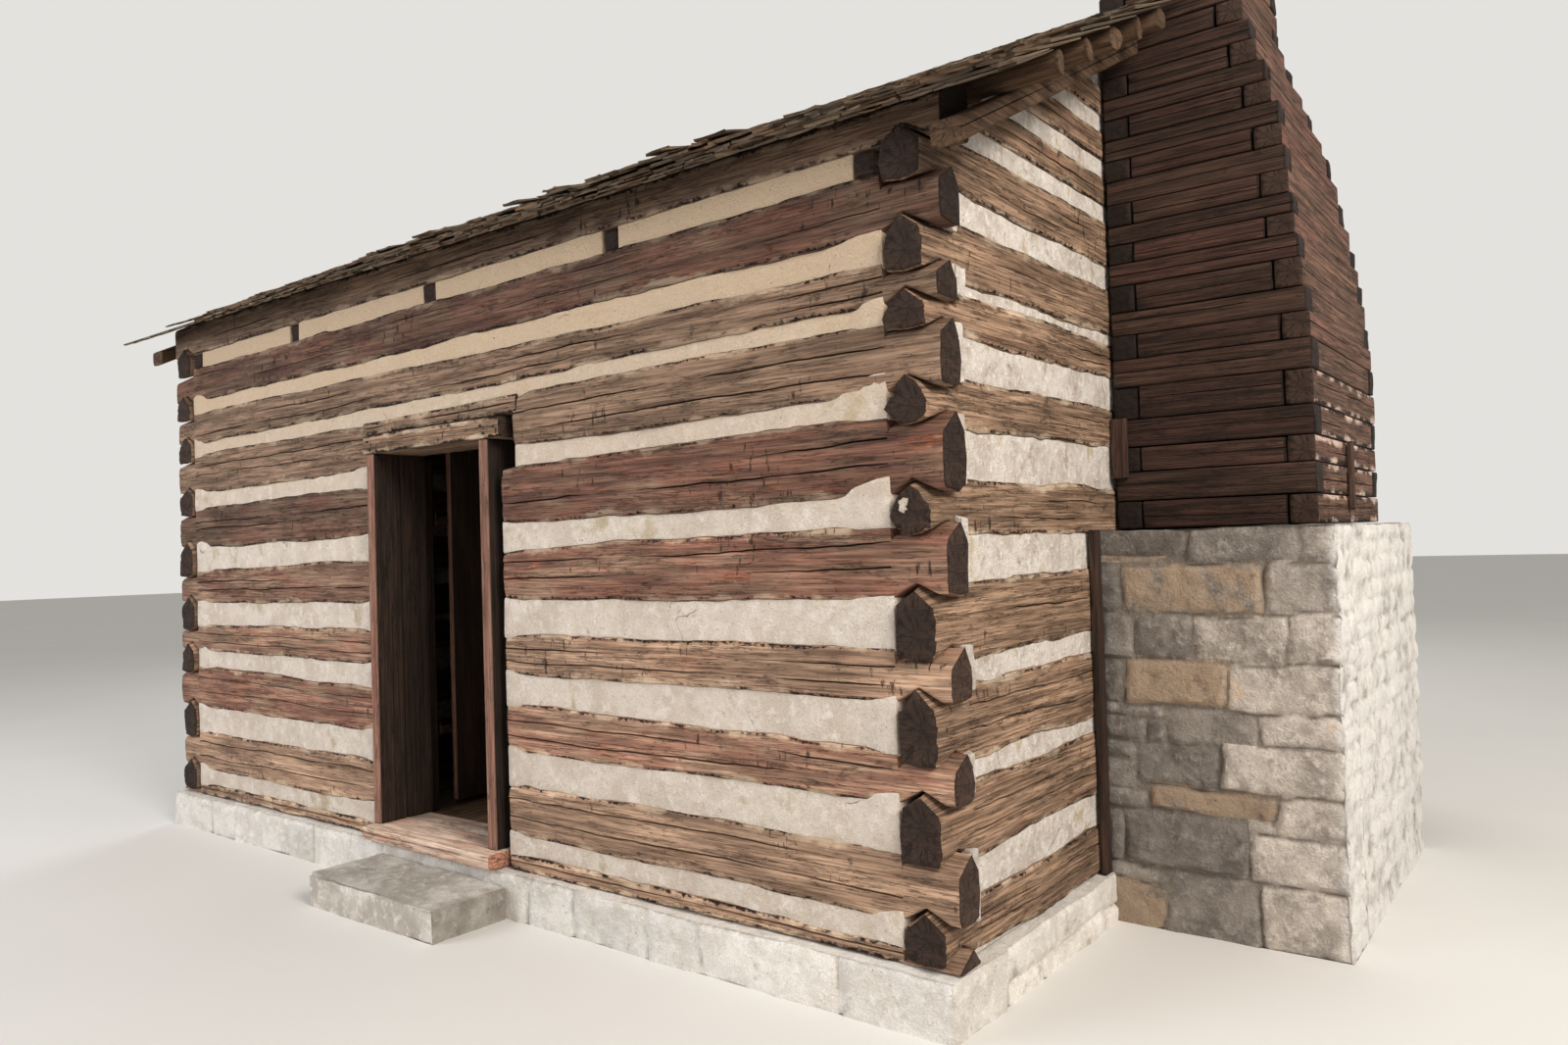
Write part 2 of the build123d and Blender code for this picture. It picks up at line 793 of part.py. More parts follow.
pieces = {
    "foundation_front": foundation_front,
    "foundation_rear": foundation_rear,
    "foundation_left": foundation_left,
    "foundation_right": foundation_right,
    "step_stone": step_stone,
    "front_logs_left": front_logs_left,
    "front_logs_right": front_logs_right,
    "front_logs_upper": front_logs_upper,
    "rear_logs": rear_logs,
    "front_plate": front_plate,
    "rear_plate": rear_plate,
    "left_gable_logs": left_gable_logs,
    "right_gable_logs_lower": right_gable_logs_lower,
    "right_gable_logs_upper": right_gable_logs_upper,
    "left_peak_logs": left_peak_logs,
    "right_peak_logs": right_peak_logs,
    "front_clay": front_clay,
    "rear_clay": rear_clay,
    "left_gable_clay": left_gable_clay,
    "right_gable_clay": right_gable_clay,
    "threshold": threshold,
    "door_jamb_left": door_jamb_left,
    "door_jamb_right": door_jamb_right,
    "door_head": door_head,
    "door_post": door_post,
    "floor": floor,
    "door_planks": door_planks,
    "door_ledges": door_ledges,
    "door_straps": door_straps,
    "door_pintles": door_pintles,
    "ceiling_joists": ceiling_joists,
    "roof_poles": roof_poles,
    "ridge_pole": ridge_pole,
    "rake_rafters": rake_rafters,
    "roof_front": roof_front,
    "roof_rear": roof_rear,
    "roof_rake_front": roof_rake_front,
    "roof_rake_rear": roof_rake_rear,
    "chimney_hearth": chimney_hearth,
    "chimney_back": chimney_back,
    "chimney_breast": chimney_breast,
    "chimney_cheeks": chimney_cheeks,
    "stack_cross_timbers": stack_cross_timbers,
    "stack_side_fillers": stack_side_fillers,
    "stack_side_timbers": stack_side_timbers,
    "stack_cross_fillers": stack_cross_fillers,
    "stack_cleat": stack_cleat,
    "stack_corner_board": stack_corner_board,
    "wall_joint_strip": wall_joint_strip,
}
for name, piece in pieces.items():
    piece.part.label = name
    export_step(piece.part, f"parts/{name}.step")
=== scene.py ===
from math import cos, pi, radians, sin, tan

import bmesh
import bpy
import numpy as np
from mathutils import Matrix, Vector


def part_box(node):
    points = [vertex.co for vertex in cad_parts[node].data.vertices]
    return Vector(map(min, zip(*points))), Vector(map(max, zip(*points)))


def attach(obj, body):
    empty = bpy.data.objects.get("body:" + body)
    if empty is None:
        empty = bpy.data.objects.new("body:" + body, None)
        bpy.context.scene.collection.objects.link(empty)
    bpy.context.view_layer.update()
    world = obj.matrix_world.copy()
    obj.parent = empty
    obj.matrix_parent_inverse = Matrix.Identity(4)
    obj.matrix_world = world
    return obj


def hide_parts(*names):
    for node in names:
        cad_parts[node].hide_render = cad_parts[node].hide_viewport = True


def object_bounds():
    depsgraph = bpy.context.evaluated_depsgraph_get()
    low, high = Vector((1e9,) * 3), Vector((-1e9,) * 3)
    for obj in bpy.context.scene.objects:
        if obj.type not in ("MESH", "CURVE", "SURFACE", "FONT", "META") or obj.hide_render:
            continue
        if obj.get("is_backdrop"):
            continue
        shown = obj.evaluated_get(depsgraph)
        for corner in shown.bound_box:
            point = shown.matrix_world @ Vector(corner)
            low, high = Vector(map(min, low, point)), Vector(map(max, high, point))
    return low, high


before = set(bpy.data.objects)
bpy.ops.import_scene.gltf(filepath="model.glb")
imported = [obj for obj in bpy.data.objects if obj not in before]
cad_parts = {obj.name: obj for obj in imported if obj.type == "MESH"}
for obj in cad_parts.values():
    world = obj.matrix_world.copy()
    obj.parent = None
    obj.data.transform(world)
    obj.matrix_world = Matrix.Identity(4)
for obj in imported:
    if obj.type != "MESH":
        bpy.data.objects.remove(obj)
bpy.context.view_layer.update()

# A cabin of hewn logs with clay between them, a roof of split shakes, and a stone chimney base
# under a stack of laid timbers. All sizes are metres.

# Bottom and top of the long-wall logs at the left and the right corner, as in the frame, from the sill up
LEFT_LOGS = [(0.200, 0.260), (0.350, 0.570), (0.710, 0.960), (1.050, 1.210), (1.330, 1.530),
             (1.660, 1.900), (1.985, 2.220), (2.290, 2.480), (2.540, 2.740)]
RIGHT_LOGS = [(0.200, 0.260), (0.340, 0.570), (0.720, 0.890), (1.050, 1.230), (1.390, 1.640),
              (1.730, 2.000), (2.070, 2.310), (2.360, 2.500), (2.600, 2.800)]
# The plates' underside at both corners, their top at the outer face, the rise of a V-notch, the roof's
# slope, and the top of the chimney's stone base
LEFT_PLATE = 2.830
RIGHT_PLATE = 2.890
PLATE_TOP = 3.015
V_RISE = 0.050
PITCH = radians(27)
BASE_TOP = 1.600


def corner(node):
    """Lowest and highest corner of a node as two arrays."""
    low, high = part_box(node)
    return np.array(low), np.array(high)


(LOG_LEFT, FRONT_FACE, _), (LOG_RIGHT, FRONT_INNER, _) = corner("front_logs_upper")
(_, REAR_INNER, _), (_, REAR_FACE, _) = corner("rear_logs")
(LEFT_FACE, GABLE_FRONT, _), (LEFT_INNER, GABLE_REAR, _) = corner("left_gable_logs")
(RIGHT_INNER, _, _), (RIGHT_FACE, _, _) = corner("right_gable_logs_upper")
RAKE_LEFT, ROOF_FRONT, _ = corner("roof_front")[0]
RAKE_RIGHT = corner("roof_rake_front")[1][0]
FOUND_LOW, FOUND_HIGH = corner("foundation_front")
FOUND_TOP = FOUND_HIGH[2]
REAR_FOUND = corner("foundation_rear")[1][1]
LEFT_ENDS = corner("front_logs_left")[1][0]
RIGHT_ENDS = corner("front_logs_right")[0][0]
BACK_LOW, BACK_HIGH = corner("chimney_back")
CHEEK_LOW, CHEEK_HIGH = corner("chimney_cheeks")
MID_Y = (FRONT_FACE + REAR_FACE) / 2


# Smooth random shapes. The lattice of random numbers repeats after this many steps.
LATTICE = 64


def eased(f):
    """Blend weight 3f^2 - 2f^3, level at both ends."""
    return f * f * (3 - 2 * f)


def hills(u, v, seed, rounds=3):
    """Random heights, about -1 to 1, over the plane. A lattice of random numbers is joined by eased
    steps, and each further round is half as high and about twice as fine."""
    table = np.random.default_rng(seed).uniform(-1, 1, (LATTICE, LATTICE))
    u, v = np.broadcast_arrays(np.asarray(u, float), np.asarray(v, float))
    total, size = np.zeros(u.shape), 0.6
    for _ in range(rounds):
        i, j = np.floor(u).astype(int), np.floor(v).astype(int)
        f, g = eased(u - i), eased(v - j)
        i, j, k, m = i % LATTICE, j % LATTICE, (i + 1) % LATTICE, (j + 1) % LATTICE
        total = total + size * ((table[i, j] * (1 - f) + table[k, j] * f) * (1 - g)
                                + (table[i, m] * (1 - f) + table[k, m] * f) * g)
        u, v, size = 2.03 * u + 11.7, 2.03 * v + 5.3, size / 2
    return total


def spans(u, seed, count, shortest, longest):
    """Weight 0 to 1 along u: count humps at random places, each with eased ends."""
    rng = np.random.default_rng(seed)
    weight = np.zeros(np.shape(u))
    low, high = np.min(u), np.max(u)
    for _ in range(count):
        middle = rng.uniform(low, high)
        half = rng.uniform(shortest, longest) / 2
        weight = np.maximum(weight, eased(np.clip(1.5 * (1 - np.abs(u - middle) / half), 0, 1)))
    return weight


# Skins: each is a dict of points, faces, face coordinates and marks, joined later to one mesh. Face marks
# are tone (how light), rust (how red) and end (end grain). Point marks are rim (metres in from the edge of
# a hewn face) and split (1 at the bottom of a crack, or in a mortar joint).
FACE_MARKS = ("tone", "rust", "end")
POINT_MARKS = ("rim", "split")


def grid_quads(rows, columns, closed=False):
    """Quads of a grid of points that are numbered row by row, closed round its columns or not."""
    r, c = np.meshgrid(np.arange(rows - 1), np.arange(columns - 1 + closed), indexing="ij")
    after = (c + 1) % columns
    corners = (r * columns + c, (r + 1) * columns + c, (r + 1) * columns + after, r * columns + after)
    return np.stack(corners, -1).reshape(-1, 4)


def open_skin(points, quads, uv, tone, rust, split):
    """Skin of quads alone, with no end grain and no rim."""
    return {"points": points, "quads": quads, "quad_uv": uv[quads], "tris": np.zeros((0, 3), int),
            "tri_uv": np.zeros((0, 3, 2)), "tone": tone, "rust": rust, "end": np.zeros(len(quads)),
            "rim": np.ones(len(points)), "split": split}


def closed_skin(points, uv, tone, rust, cap, rim, split):
    """Skin from a grid whose rows run along u and whose columns close round v, ending in a fan of
    triangles at the first and the last row. points is rows x columns x 3, and uv has one column more.
    cap says how many of the first and of the last strips are end grain. rust holds one value a strip."""
    rows, columns = points.shape[:2]
    quads = grid_quads(rows, columns, True)
    c = np.arange(columns)
    after = (c + 1) % columns
    base, count = (rows - 1) * columns, rows * columns
    tris = np.concatenate([np.stack([np.full(columns, count), c, after], -1),
                           np.stack([np.full(columns, count + 1), base + after, base + c], -1)])
    middle = uv[[0, -1]].mean(1)
    first = np.stack([np.tile(middle[0], (columns, 1)), uv[0, c], uv[0, c + 1]], 1)
    last = np.stack([np.tile(middle[1], (columns, 1)), uv[-1, c + 1], uv[-1, c]], 1)
    end = np.zeros((rows - 1, columns))
    end[:cap] = 1
    end[rows - 1 - cap:] = 1
    rust = np.repeat(np.broadcast_to(rust, rows - 1), columns)
    return outward({"points": np.concatenate([points.reshape(-1, 3), points[[0, -1]].mean(1)]),
                    "quads": quads, "quad_uv": uv.reshape(-1, 2)[grid_quads(rows, columns + 1)],
                    "tris": tris, "tri_uv": np.concatenate([first, last]),
                    "tone": np.full(len(quads) + len(tris), float(tone)),
                    "rust": np.concatenate([rust, rust[:columns], rust[-columns:]]),
                    "end": np.concatenate([end.ravel(), np.full(2 * columns, float(cap > 0))]),
                    "rim": np.append(rim.ravel(), [1, 1]), "split": np.append(split.ravel(), [0, 0])})


def outward(skin):
    """Turns the skin's faces over if the volume that they enclose comes out negative."""
    p, q, t = skin["points"], skin["quads"], skin["tris"]
    fans = ((q, 0, 1, 2), (q, 0, 2, 3), (t, 0, 1, 2))
    volume = sum(np.einsum("ij,ij->", p[f[:, a]], np.cross(p[f[:, b]], p[f[:, c]])) for f, a, b, c in fans)
    if volume < 0:
        for key in ("quads", "quad_uv", "tris", "tri_uv"):
            skin[key] = skin[key][:, ::-1]
    return skin


def square_section(crack_levels, fine, is_round):
    """Points round a unit square from the middle of its lower side: lower side, outer side at p = -1,
    upper side, inner side. A round section gets more points below and above. Each crack gets three close
    rows on the outer side. Returns p, q and, for each point, the crack it belongs to and its place in it
    (-1, 0, 1), and whether it is on the outer side."""
    outer = [-1, -0.93, -0.82] + list(np.linspace(-0.62, 0.62, fine)) + [0.82, 0.93, 1]
    rows = [(q, -1, 0) for q in outer]
    for number, level in enumerate(crack_levels):
        rows = [row for row in rows if abs(row[0] - level) > 0.09]
        rows += [(level + 0.001 * k, number, k) for k in (-1, 0, 1)]
    half_way = (0.45,) * is_round
    lower = [(-p, -1, -1, 0, 0) for p in (0, *half_way, 0.9)]
    up = [(-1, q, crack, k, 1) for q, crack, k in sorted(rows)]
    top = [(p, 1, -1, 0, 0) for p in (-0.9, *(-p for p in half_way), 0, *half_way, 0.9)]
    down = [(1, q, -1, 0, 0) for q in (1, 0.9, 0, -0.9, -1)]
    back = [(p, -1, -1, 0, 0) for p in (0.9, *half_way)]
    return np.array(lower + up + top + down + back, float).T


def on_axes(axis, along, across, height):
    """Stacks three coordinate arrays so that along lies on that axis and height is Z, or Y for axis 2."""
    order = {0: (along, across, height), 1: (across, along, height), 2: (across, height, along)}[axis]
    return np.stack(np.broadcast_arrays(*order), -1)


# A timber's ends wear over this length. Each ring of an end has a size and a share of how far it stands
# out. Points that aren't on the outer face count as this far in from its rim.
END_REACH = 0.12
END_RINGS = np.array([[0.985, 0.45], [0.93, 0.8], [0.72, 1.0], [0.4, 1.0], [0.15, 1.0]])
FAR_IN = 0.3


def end_layers(a0, h0, u0, rise, half, sense, rng, seed, rings, play):
    """Rings that shrink from a timber's last section towards its pole: across, height, along and their UV
    from the pith. They stand out by 4 mm, by play times hills and by a random tilt."""
    pith = (a0.mean() + rng.uniform(-0.2, 0.2) * half, h0.mean() + rng.uniform(-0.15, 0.15) * rise)
    a = a0.mean() + rings[:, :1] * (a0 - a0.mean())
    h = h0.mean() + rings[:, :1] * (h0 - h0.mean())
    bump = play * (0.9 * hills(a * 14, h * 14, seed, 3) + 0.4)
    lean = play * (rng.uniform(-1, 1) * (a - a0.mean()) / half + rng.uniform(-1, 1) * (h - h0.mean()) / rise)
    x = u0 + sense * rings[:, 1:] * (0.004 + bump + lean)
    spot = np.stack([a - pith[0], h - pith[1]], -1)
    return [layer[::sense] for layer in (a, h, x, np.append(spot, spot[:, :1], 1))]


def timber(axis, start, stop, across, lower, upper, seed, outer=-1, tone=0.5, rust=0.3, power=7.0,
           step=0.03, wave=0.0, ragged=0.0, spread=0.0, relief=0.003, crack_levels=(), crack_spans=3,
           crack_depth=0.014, crack_half=0.0035, joints=(None, None), notches=(), nip=0.0, tilt=0.0, slant=0,
           end_play=0.006, fine=6, facets=9.0, worn=0.0, blunt=0.0, forward=None, end_rings=5):
    """Skin of one hewn timber. u runs along the axis and v round the section, a square whose points are
    divided by their power-norm, so that its arrises round off. lower and upper give the section's height
    at u. wave makes both edges wander, ragged frays them and spread widens them, except in the corner
    joints, where the top falls by V_RISE from its middle to the faces, each notch raises the lower side by
    a V, and nip thins the inner side. The outer face goes in by relief times hills, and in each crack row
    by crack_depth where the crack is open. forward gives how far it comes out at u. tilt raises the top
    towards the inner side, and slant draws both ends in towards the top. Over END_REACH each end draws in
    towards its middle, by worn times hills and at the arrises by blunt as well. end_rings rings that shrink
    to the pole close each end, moved along u by end_play times hills."""
    rng = np.random.default_rng(seed)
    u = np.linspace(start, stop, max(int(round((stop - start) / step)), 3) + 1)
    marks = [m for middle, half in notches for m in (middle - half, middle, middle + half)]
    marks += [m for joint, side in zip(joints, (1, -1)) if joint is not None
              for m in (joint, joint + 0.003 * side)]
    u = np.unique(np.concatenate([u, [m for m in marks if start < m < stop]]).round(5))
    in_wall = np.ones(len(u))
    if joints[0] is not None:
        in_wall[u <= joints[0] + 1e-6] = 0
    if joints[1] is not None:
        in_wall[u >= joints[1] - 1e-6] = 0

    def edge(level, side, k, out):
        level = np.broadcast_to(level(u) if callable(level) else level, u.shape).astype(float)
        fray = ragged * hills(u * 16, side, seed + k + 4, 3)
        return level + in_wall * (wave * hills(u * 2.2, side, seed + k, 4) + out + fray)

    low, high = edge(lower, 0.5, 1, -spread), edge(upper, 9.5, 2, spread)
    notch = sum((np.clip(1 - np.abs(u - middle) / half, 0, 1) for middle, half in notches), np.zeros(len(u)))

    p, q, crack, place, on_face = square_section(crack_levels, fine, power < 4 or blunt > 0.3)
    norm = (np.abs(p) ** power + np.abs(q) ** power) ** (1 / power)
    p, q = p / norm, q / norm
    span = (high - low)[:, None]
    meander, opened = np.zeros((len(u), len(p))), np.zeros((len(u), len(p)))
    for number in range(len(crack_levels)):
        mine = crack == number
        meander[:, mine] = (0.10 * hills(u * 1.7, number + 0.5, seed + 70, 4) * in_wall)[:, None]
        opened[:, mine] = (spans(u, seed + 50 + number, crack_spans, 0.3, 1.8) * in_wall)[:, None]
    q_here = q + meander + 2 * place * opened * crack_half * rng.uniform(0.6, 1.3) / span
    share = (q_here + 1) / 2
    joined = (1 - in_wall)[:, None]
    bottom = low[:, None] + V_RISE * notch[:, None] + 0.002
    top = high[:, None] - joined * V_RISE * np.abs(p) + tilt * (p + 1) / 2
    height = bottom + (top - bottom) * share

    half = (across[1] - across[0]) / 2
    face, inner = np.clip((-p - 0.80) * 6, 0, 1), np.clip((p - 0.80) * 6, 0, 1)
    swell = hills(u[:, None] * facets, height * 5, seed + 3, 2)
    swell = swell + 0.6 * hills(u[:, None] * 0.9, height * 1.5, seed + 4, 2)
    cleft = np.where((place == 0) & (crack >= 0), opened, 0)
    depth = face * relief * (1.2 + swell) + cleft * crack_depth
    if forward:
        depth = depth - face * forward(u)[:, None]
    back = inner * relief * 0.5 * (1 + swell)
    thinned = np.where(p > 0, 1 - nip * joined, 1.0)
    across_here = (across[0] + across[1]) / 2 - outer * (p * half * thinned + depth - back)
    near_end = np.clip(1 - np.minimum(u - start, stop - u) / END_REACH, 0, 1)[:, None]
    hollow = worn * (0.6 + hills(np.arange(len(p)) * 0.7 + seed, u[:, None] * 9, seed + 8, 3))
    draw = near_end * (hollow + blunt * np.abs(p * q) ** 4)
    across_here = across_here + (across_here.mean(1, keepdims=True) - across_here) * draw
    height = height + (height.mean(1, keepdims=True) - height) * draw
    way = (u - start) / (stop - start)
    along = u[:, None] + share * (slant * (1 - 2 * way))[:, None]

    # Over the outer face v is the height, so that the grain runs straight through notches and joints
    unrolled = height + q * (p + 1) * half
    uv = np.stack([np.append(along, along[:, :1], 1) + seed * 3.17,
                   np.append(unrolled, unrolled[:, :1], 1) + seed * 1.31], -1)
    rim = np.where(on_face > 0, (1 - np.abs(q_here)) * span / 2 + 0.05 * joined, FAR_IN)

    rings = END_RINGS[:end_rings]
    first, last = (end_layers(across_here[end], height[end], along[end], span[end, 0], half, sense, rng,
                              seed + 7 + end, rings, end_play) for end, sense in ((0, -1), (-1, 1)))
    across_here, height, along, uv = (np.concatenate(layers) for layers in zip(
        first, (across_here, height, along, uv), last))
    pad = ((len(rings), len(rings)), (0, 0))
    rust = np.pad(np.broadcast_to(rust, len(u) - 1), len(rings), mode="edge")
    return closed_skin(on_axes(axis, along, across_here, height), uv, tone, rust, len(rings),
                       np.pad(rim, pad, constant_values=FAR_IN), np.pad(cleft + np.zeros(rim.shape), pad))


def random_cuts(rng, start, stop, shortest, longest):
    """Places from start to stop whose steps are random lengths, stretched to fill the distance."""
    steps = rng.uniform(shortest, longest, int((stop - start) / shortest) + 2)
    count = int(np.argmin(np.abs(np.cumsum(steps) - (stop - start)))) + 1
    cuts = np.append(0, np.cumsum(steps[:count]))
    return start + cuts / cuts[-1] * (stop - start)


# How far stones on the ground reach below it, and how rough split stone is
UNDERGROUND = 0.1
ROUGH = 0.007


def coursed(start, stop, bottom, top, seed, heights=(0.08, 0.17), lengths=(0.16, 0.42), rusty=0.1,
            tones=(0.25, 0.75)):
    """Random laid stones over a wall side: rows of start, stop, bottom, top, tone and rust. Stones on the
    ground reach below it, so that no joint opens there."""
    rng = np.random.default_rng(seed)
    stones = []
    levels = random_cuts(rng, bottom, top, *heights)
    levels[0] -= UNDERGROUND * (bottom == 0)
    for z0, z1 in zip(levels, levels[1:]):
        places = random_cuts(rng, start, stop, *lengths)
        for s0, s1 in zip(places, places[1:]):
            stones.append((s0, s1, z0, z1, rng.uniform(*tones), (rng.random() < rusty) * rng.uniform(0.5, 1)))
    return np.array(stones)


def laid_face(s, z, stones, seed, joint, sink):
    """Height of a laid-stone side at s, z, counted from its plane, the stone that each point is in, and the
    mortar mark. A point lies in the stone whose edges, bent by hills of 2 cm, are farthest from it, by a
    smooth minimum. The face falls off to the joint over 14 mm, and has its own tilt and hollows."""
    bent_s = s + 0.024 * hills(s * 5, z * 7, seed, 3)
    bent_z = z + 0.018 * hills(s * 5, z * 4, seed + 1, 4)
    inside, which = np.full(s.shape, -9.0), np.zeros(s.shape, int)
    for number, (s0, s1, z0, z1) in enumerate(stones[:, :4]):
        width, rise = np.minimum(bent_s - s0, s1 - bent_s), np.minimum(bent_z - z0, z1 - bent_z)
        here = -0.007 * np.logaddexp(-width / 0.007, -rise / 0.007)
        inside, which = np.where(here > inside, here, inside), np.where(here > inside, number, which)
    inside = inside - joint + 0.004 * hills(s * 9, z * 9, seed + 2, 2)
    rng = np.random.default_rng(seed)
    lean, nod = rng.uniform(-ROUGH, ROUGH, (2, len(stones)))
    drop = rng.uniform(0, 0.007, len(stones))
    middle_s, middle_z = stones[:, :2].mean(1)[which], stones[:, 2:4].mean(1)[which]
    own = lean[which] * (s - middle_s) / 0.2 + nod[which] * (z - middle_z) / 0.1 - drop[which]
    rough = 1.3 * hills(s * 9 + which * 7.3, z * 12, seed + 3, 4) + 0.3 * hills(s * 45, z * 55, seed + 4, 2)
    fall = eased(np.clip(inside / 0.014, 0, 1))
    bed = 0.002 * hills(s * 40, z * 40, seed + 5, 2)
    height = np.minimum(fall * (own + ROUGH * rough) + (1 - fall) * (bed - sink), 0.008) - 0.010
    return height, which, 1 - eased(np.clip((inside + 0.002) / 0.006, 0, 1))


def masonry(low, high, laid, seed, cell, joint=0.004, sink=0.016, washed=()):
    """Skin of a stone body: the six grids of its box. laid gives the stones of a side, by its axis and end.
    Each point moves by ROUGH times hills of its own place and, on a laid side, in by that side's height
    there, so that the grids meet at their edges. The joints of a washed side are shallower, filled with
    limewash. The ground plane stays level."""
    low, high = np.array(low, float), np.array(high, float)

    def side_height(points, axis, end):
        s, z = (points[..., k] for k in range(3) if k != axis)
        depth = 0.65 * sink if (axis, end) in washed else sink
        return laid_face(s, z, laid[axis, end], seed + 10 * axis + 5 * end, joint, depth)

    skins = []
    for axis in range(3):
        b, c = [k for k in range(3) if k != axis]
        nb, nc = (max(int((high[k] - low[k]) / cell), 1) + 1 for k in (b, c))
        s, t = np.meshgrid(np.linspace(low[b], high[b], nb), np.linspace(low[c], high[c], nc), indexing="ij")
        for end, value in enumerate((low[axis], high[axis])):
            points = np.zeros((nb, nc, 3))
            points[..., axis], points[..., b], points[..., c] = value, s, t
            x, y, z = np.moveaxis(points, -1, 0)
            move = ROUGH * np.stack([hills(y * 5 + x, z * 5, seed) - 0.6, hills(x * 5 + y, z * 5, seed + 1),
                                      hills(x * 5, y * 5 + z, seed + 2) - 0.6], -1)
            for (other, there) in laid:
                on_side = np.abs(points[..., other] - (low, high)[there][other]) < 1e-6
                if on_side.any():
                    out = (2 * there - 1) * side_height(points, other, there)[0]
                    move[..., other] += np.where(on_side, out, 0)
            move[..., 2] = np.where(z < 0.001, 0, move[..., 2])
            tone, rust, split = np.full(s.shape, 0.5), np.zeros(s.shape), np.zeros(s.shape)
            if (axis, end) in laid:
                _, which, split = side_height(points, axis, end)
                tone, rust = laid[axis, end][which, 4], laid[axis, end][which, 5]
            quads = grid_quads(nb, nc)
            if (end == 0) == (axis != 1):
                quads = quads[:, ::-1]
            skins.append(open_skin((points + move).reshape(-1, 3), quads, np.stack([s, t], -1).reshape(-1, 2),
                                   tone[:-1, :-1].ravel(), rust[:-1, :-1].ravel(), split.ravel()))
    return join_skins(skins)


def join_skins(skins):
    """One skin from several, with the face numbers moved on. Quads come first, then triangles."""
    starts = np.cumsum([0] + [len(skin["points"]) for skin in skins[:-1]])
    joined = {key: np.concatenate([skin[key][:len(skin["quads"])] for skin in skins]
                                  + [skin[key][len(skin["quads"]):] for skin in skins]) for key in FACE_MARKS}
    for key in ("points", "quad_uv", "tri_uv", *POINT_MARKS):
        joined[key] = np.concatenate([skin[key] for skin in skins])
    for key in ("quads", "tris"):
        joined[key] = np.concatenate([skin[key] + start for skin, start in zip(skins, starts)])
    return joined


def piece(name, skins, finish, nodes, body="root", sharp=50, merge=False):
    """Makes one object from skins, with its UV map and its face and point marks. Edges past the angle sharp
    stay sharp, and merge joins the grids of stone bodies where they meet."""
    skin = join_skins(skins)
    faces = np.concatenate([skin["quads"].ravel(), skin["tris"].ravel()])
    totals = np.concatenate([np.full(len(skin["quads"]), 4), np.full(len(skin["tris"]), 3)])
    starts = np.concatenate([[0], np.cumsum(totals)[:-1]])
    mesh = bpy.data.meshes.new(name)
    mesh.vertices.add(len(skin["points"]))
    mesh.vertices.foreach_set("co", skin["points"].astype(np.float32).ravel())
    mesh.loops.add(len(faces))
    mesh.loops.foreach_set("vertex_index", faces.astype(np.int32))
    mesh.polygons.add(len(totals))
    mesh.polygons.foreach_set("loop_start", starts.astype(np.int32))
    mesh.polygons.foreach_set("loop_total", totals.astype(np.int32))
    mesh.update(calc_edges=True)
    layer = mesh.uv_layers.new(name="UVMap")
    uv = np.concatenate([skin["quad_uv"].reshape(-1, 2), skin["tri_uv"].reshape(-1, 2)])
    layer.data.foreach_set("uv", uv.astype(np.float32).ravel())
    for domain, keys in (("FACE", FACE_MARKS), ("POINT", POINT_MARKS)):
        for key in keys:
            mesh.attributes.new(key, "FLOAT", domain).data.foreach_set("value", skin[key].astype(np.float32))
    mesh.validate()
    if merge:
        work = bmesh.new()
        work.from_mesh(mesh)
        bmesh.ops.remove_doubles(work, verts=work.verts, dist=0.0005)
        bmesh.ops.recalc_face_normals(work, faces=work.faces)
        work.to_mesh(mesh)
        work.free()
    mesh.shade_smooth()
    mesh.set_sharp_from_angle(angle=radians(sharp))
    mesh.materials.append(finish)
    made = bpy.data.objects.new(name, mesh)
    bpy.context.scene.collection.objects.link(made)
    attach(made, body)
    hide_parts(*nodes)
    return made


# Finishes

MIX, RANGE, NOISE, MAPPING, MATH, MARK, BUMP, PLACE, PARTS = (
    "ShaderNode" + kind for kind in ("Mix", "MapRange", "TexNoise", "Mapping", "Math", "Attribute", "Bump",
                                     "TexCoord", "SeparateXYZ"))
BLEND = {"data_type": "RGBA"}
SHADE = {"data_type": "RGBA", "blend_type": "MULTIPLY"}
SMOOTH = {"interpolation_type": "SMOOTHSTEP"}
PLUS, LESS, TIMES, TIMES_PLUS, SIZE, LARGER = (
    {"operation": name} for name in ("ADD", "SUBTRACT", "MULTIPLY", "MULTIPLY_ADD", "ABSOLUTE", "MAXIMUM"))


def colour(code):
    """Linear colour from an sRGB hex code."""
    values = [int(code[k:k + 2], 16) / 255 for k in (1, 3, 5)]
    return [v / 12.92 if v <= 0.04045 else ((v + 0.055) / 1.055) ** 2.4 for v in values] + [1.0]


def add(tree, kind, inputs=None, output=0, **settings):
    """Adds one node with its settings and returns an output. Each input is linked to a socket or set to a
    value, and a hex code there is a colour."""
    made = tree.nodes.new(kind)
    for key, value in settings.items():
        setattr(made, key, value)
    for socket, value in (inputs or {}).items():
        if isinstance(value, bpy.types.NodeSocket):
            tree.links.new(value, made.inputs[socket])
        else:
            made.inputs[socket].default_value = colour(value) if isinstance(value, str) else value
    return made.outputs[output]


# Where the clay begins to turn tan, above the ground, and where the chimney's white side begins along X,
# partly limewash and partly painted light
ABOVE_FROM = 2.0
WASH_AND_LIGHT_FROM = CHEEK_HIGH[0] - 0.01


def new_finish(name, roughness, specular=0.3, metallic=0.0):
    """A material with its shader's constants, and its node tree."""
    material = bpy.data.materials.new(name)
    material.use_nodes = True
    shader = material.node_tree.nodes["Principled BSDF"]
    shader.inputs["Roughness"].default_value = roughness
    shader.inputs["Specular IOR Level"].default_value = specular
    shader.inputs["Metallic"].default_value = metallic
    return material, material.node_tree


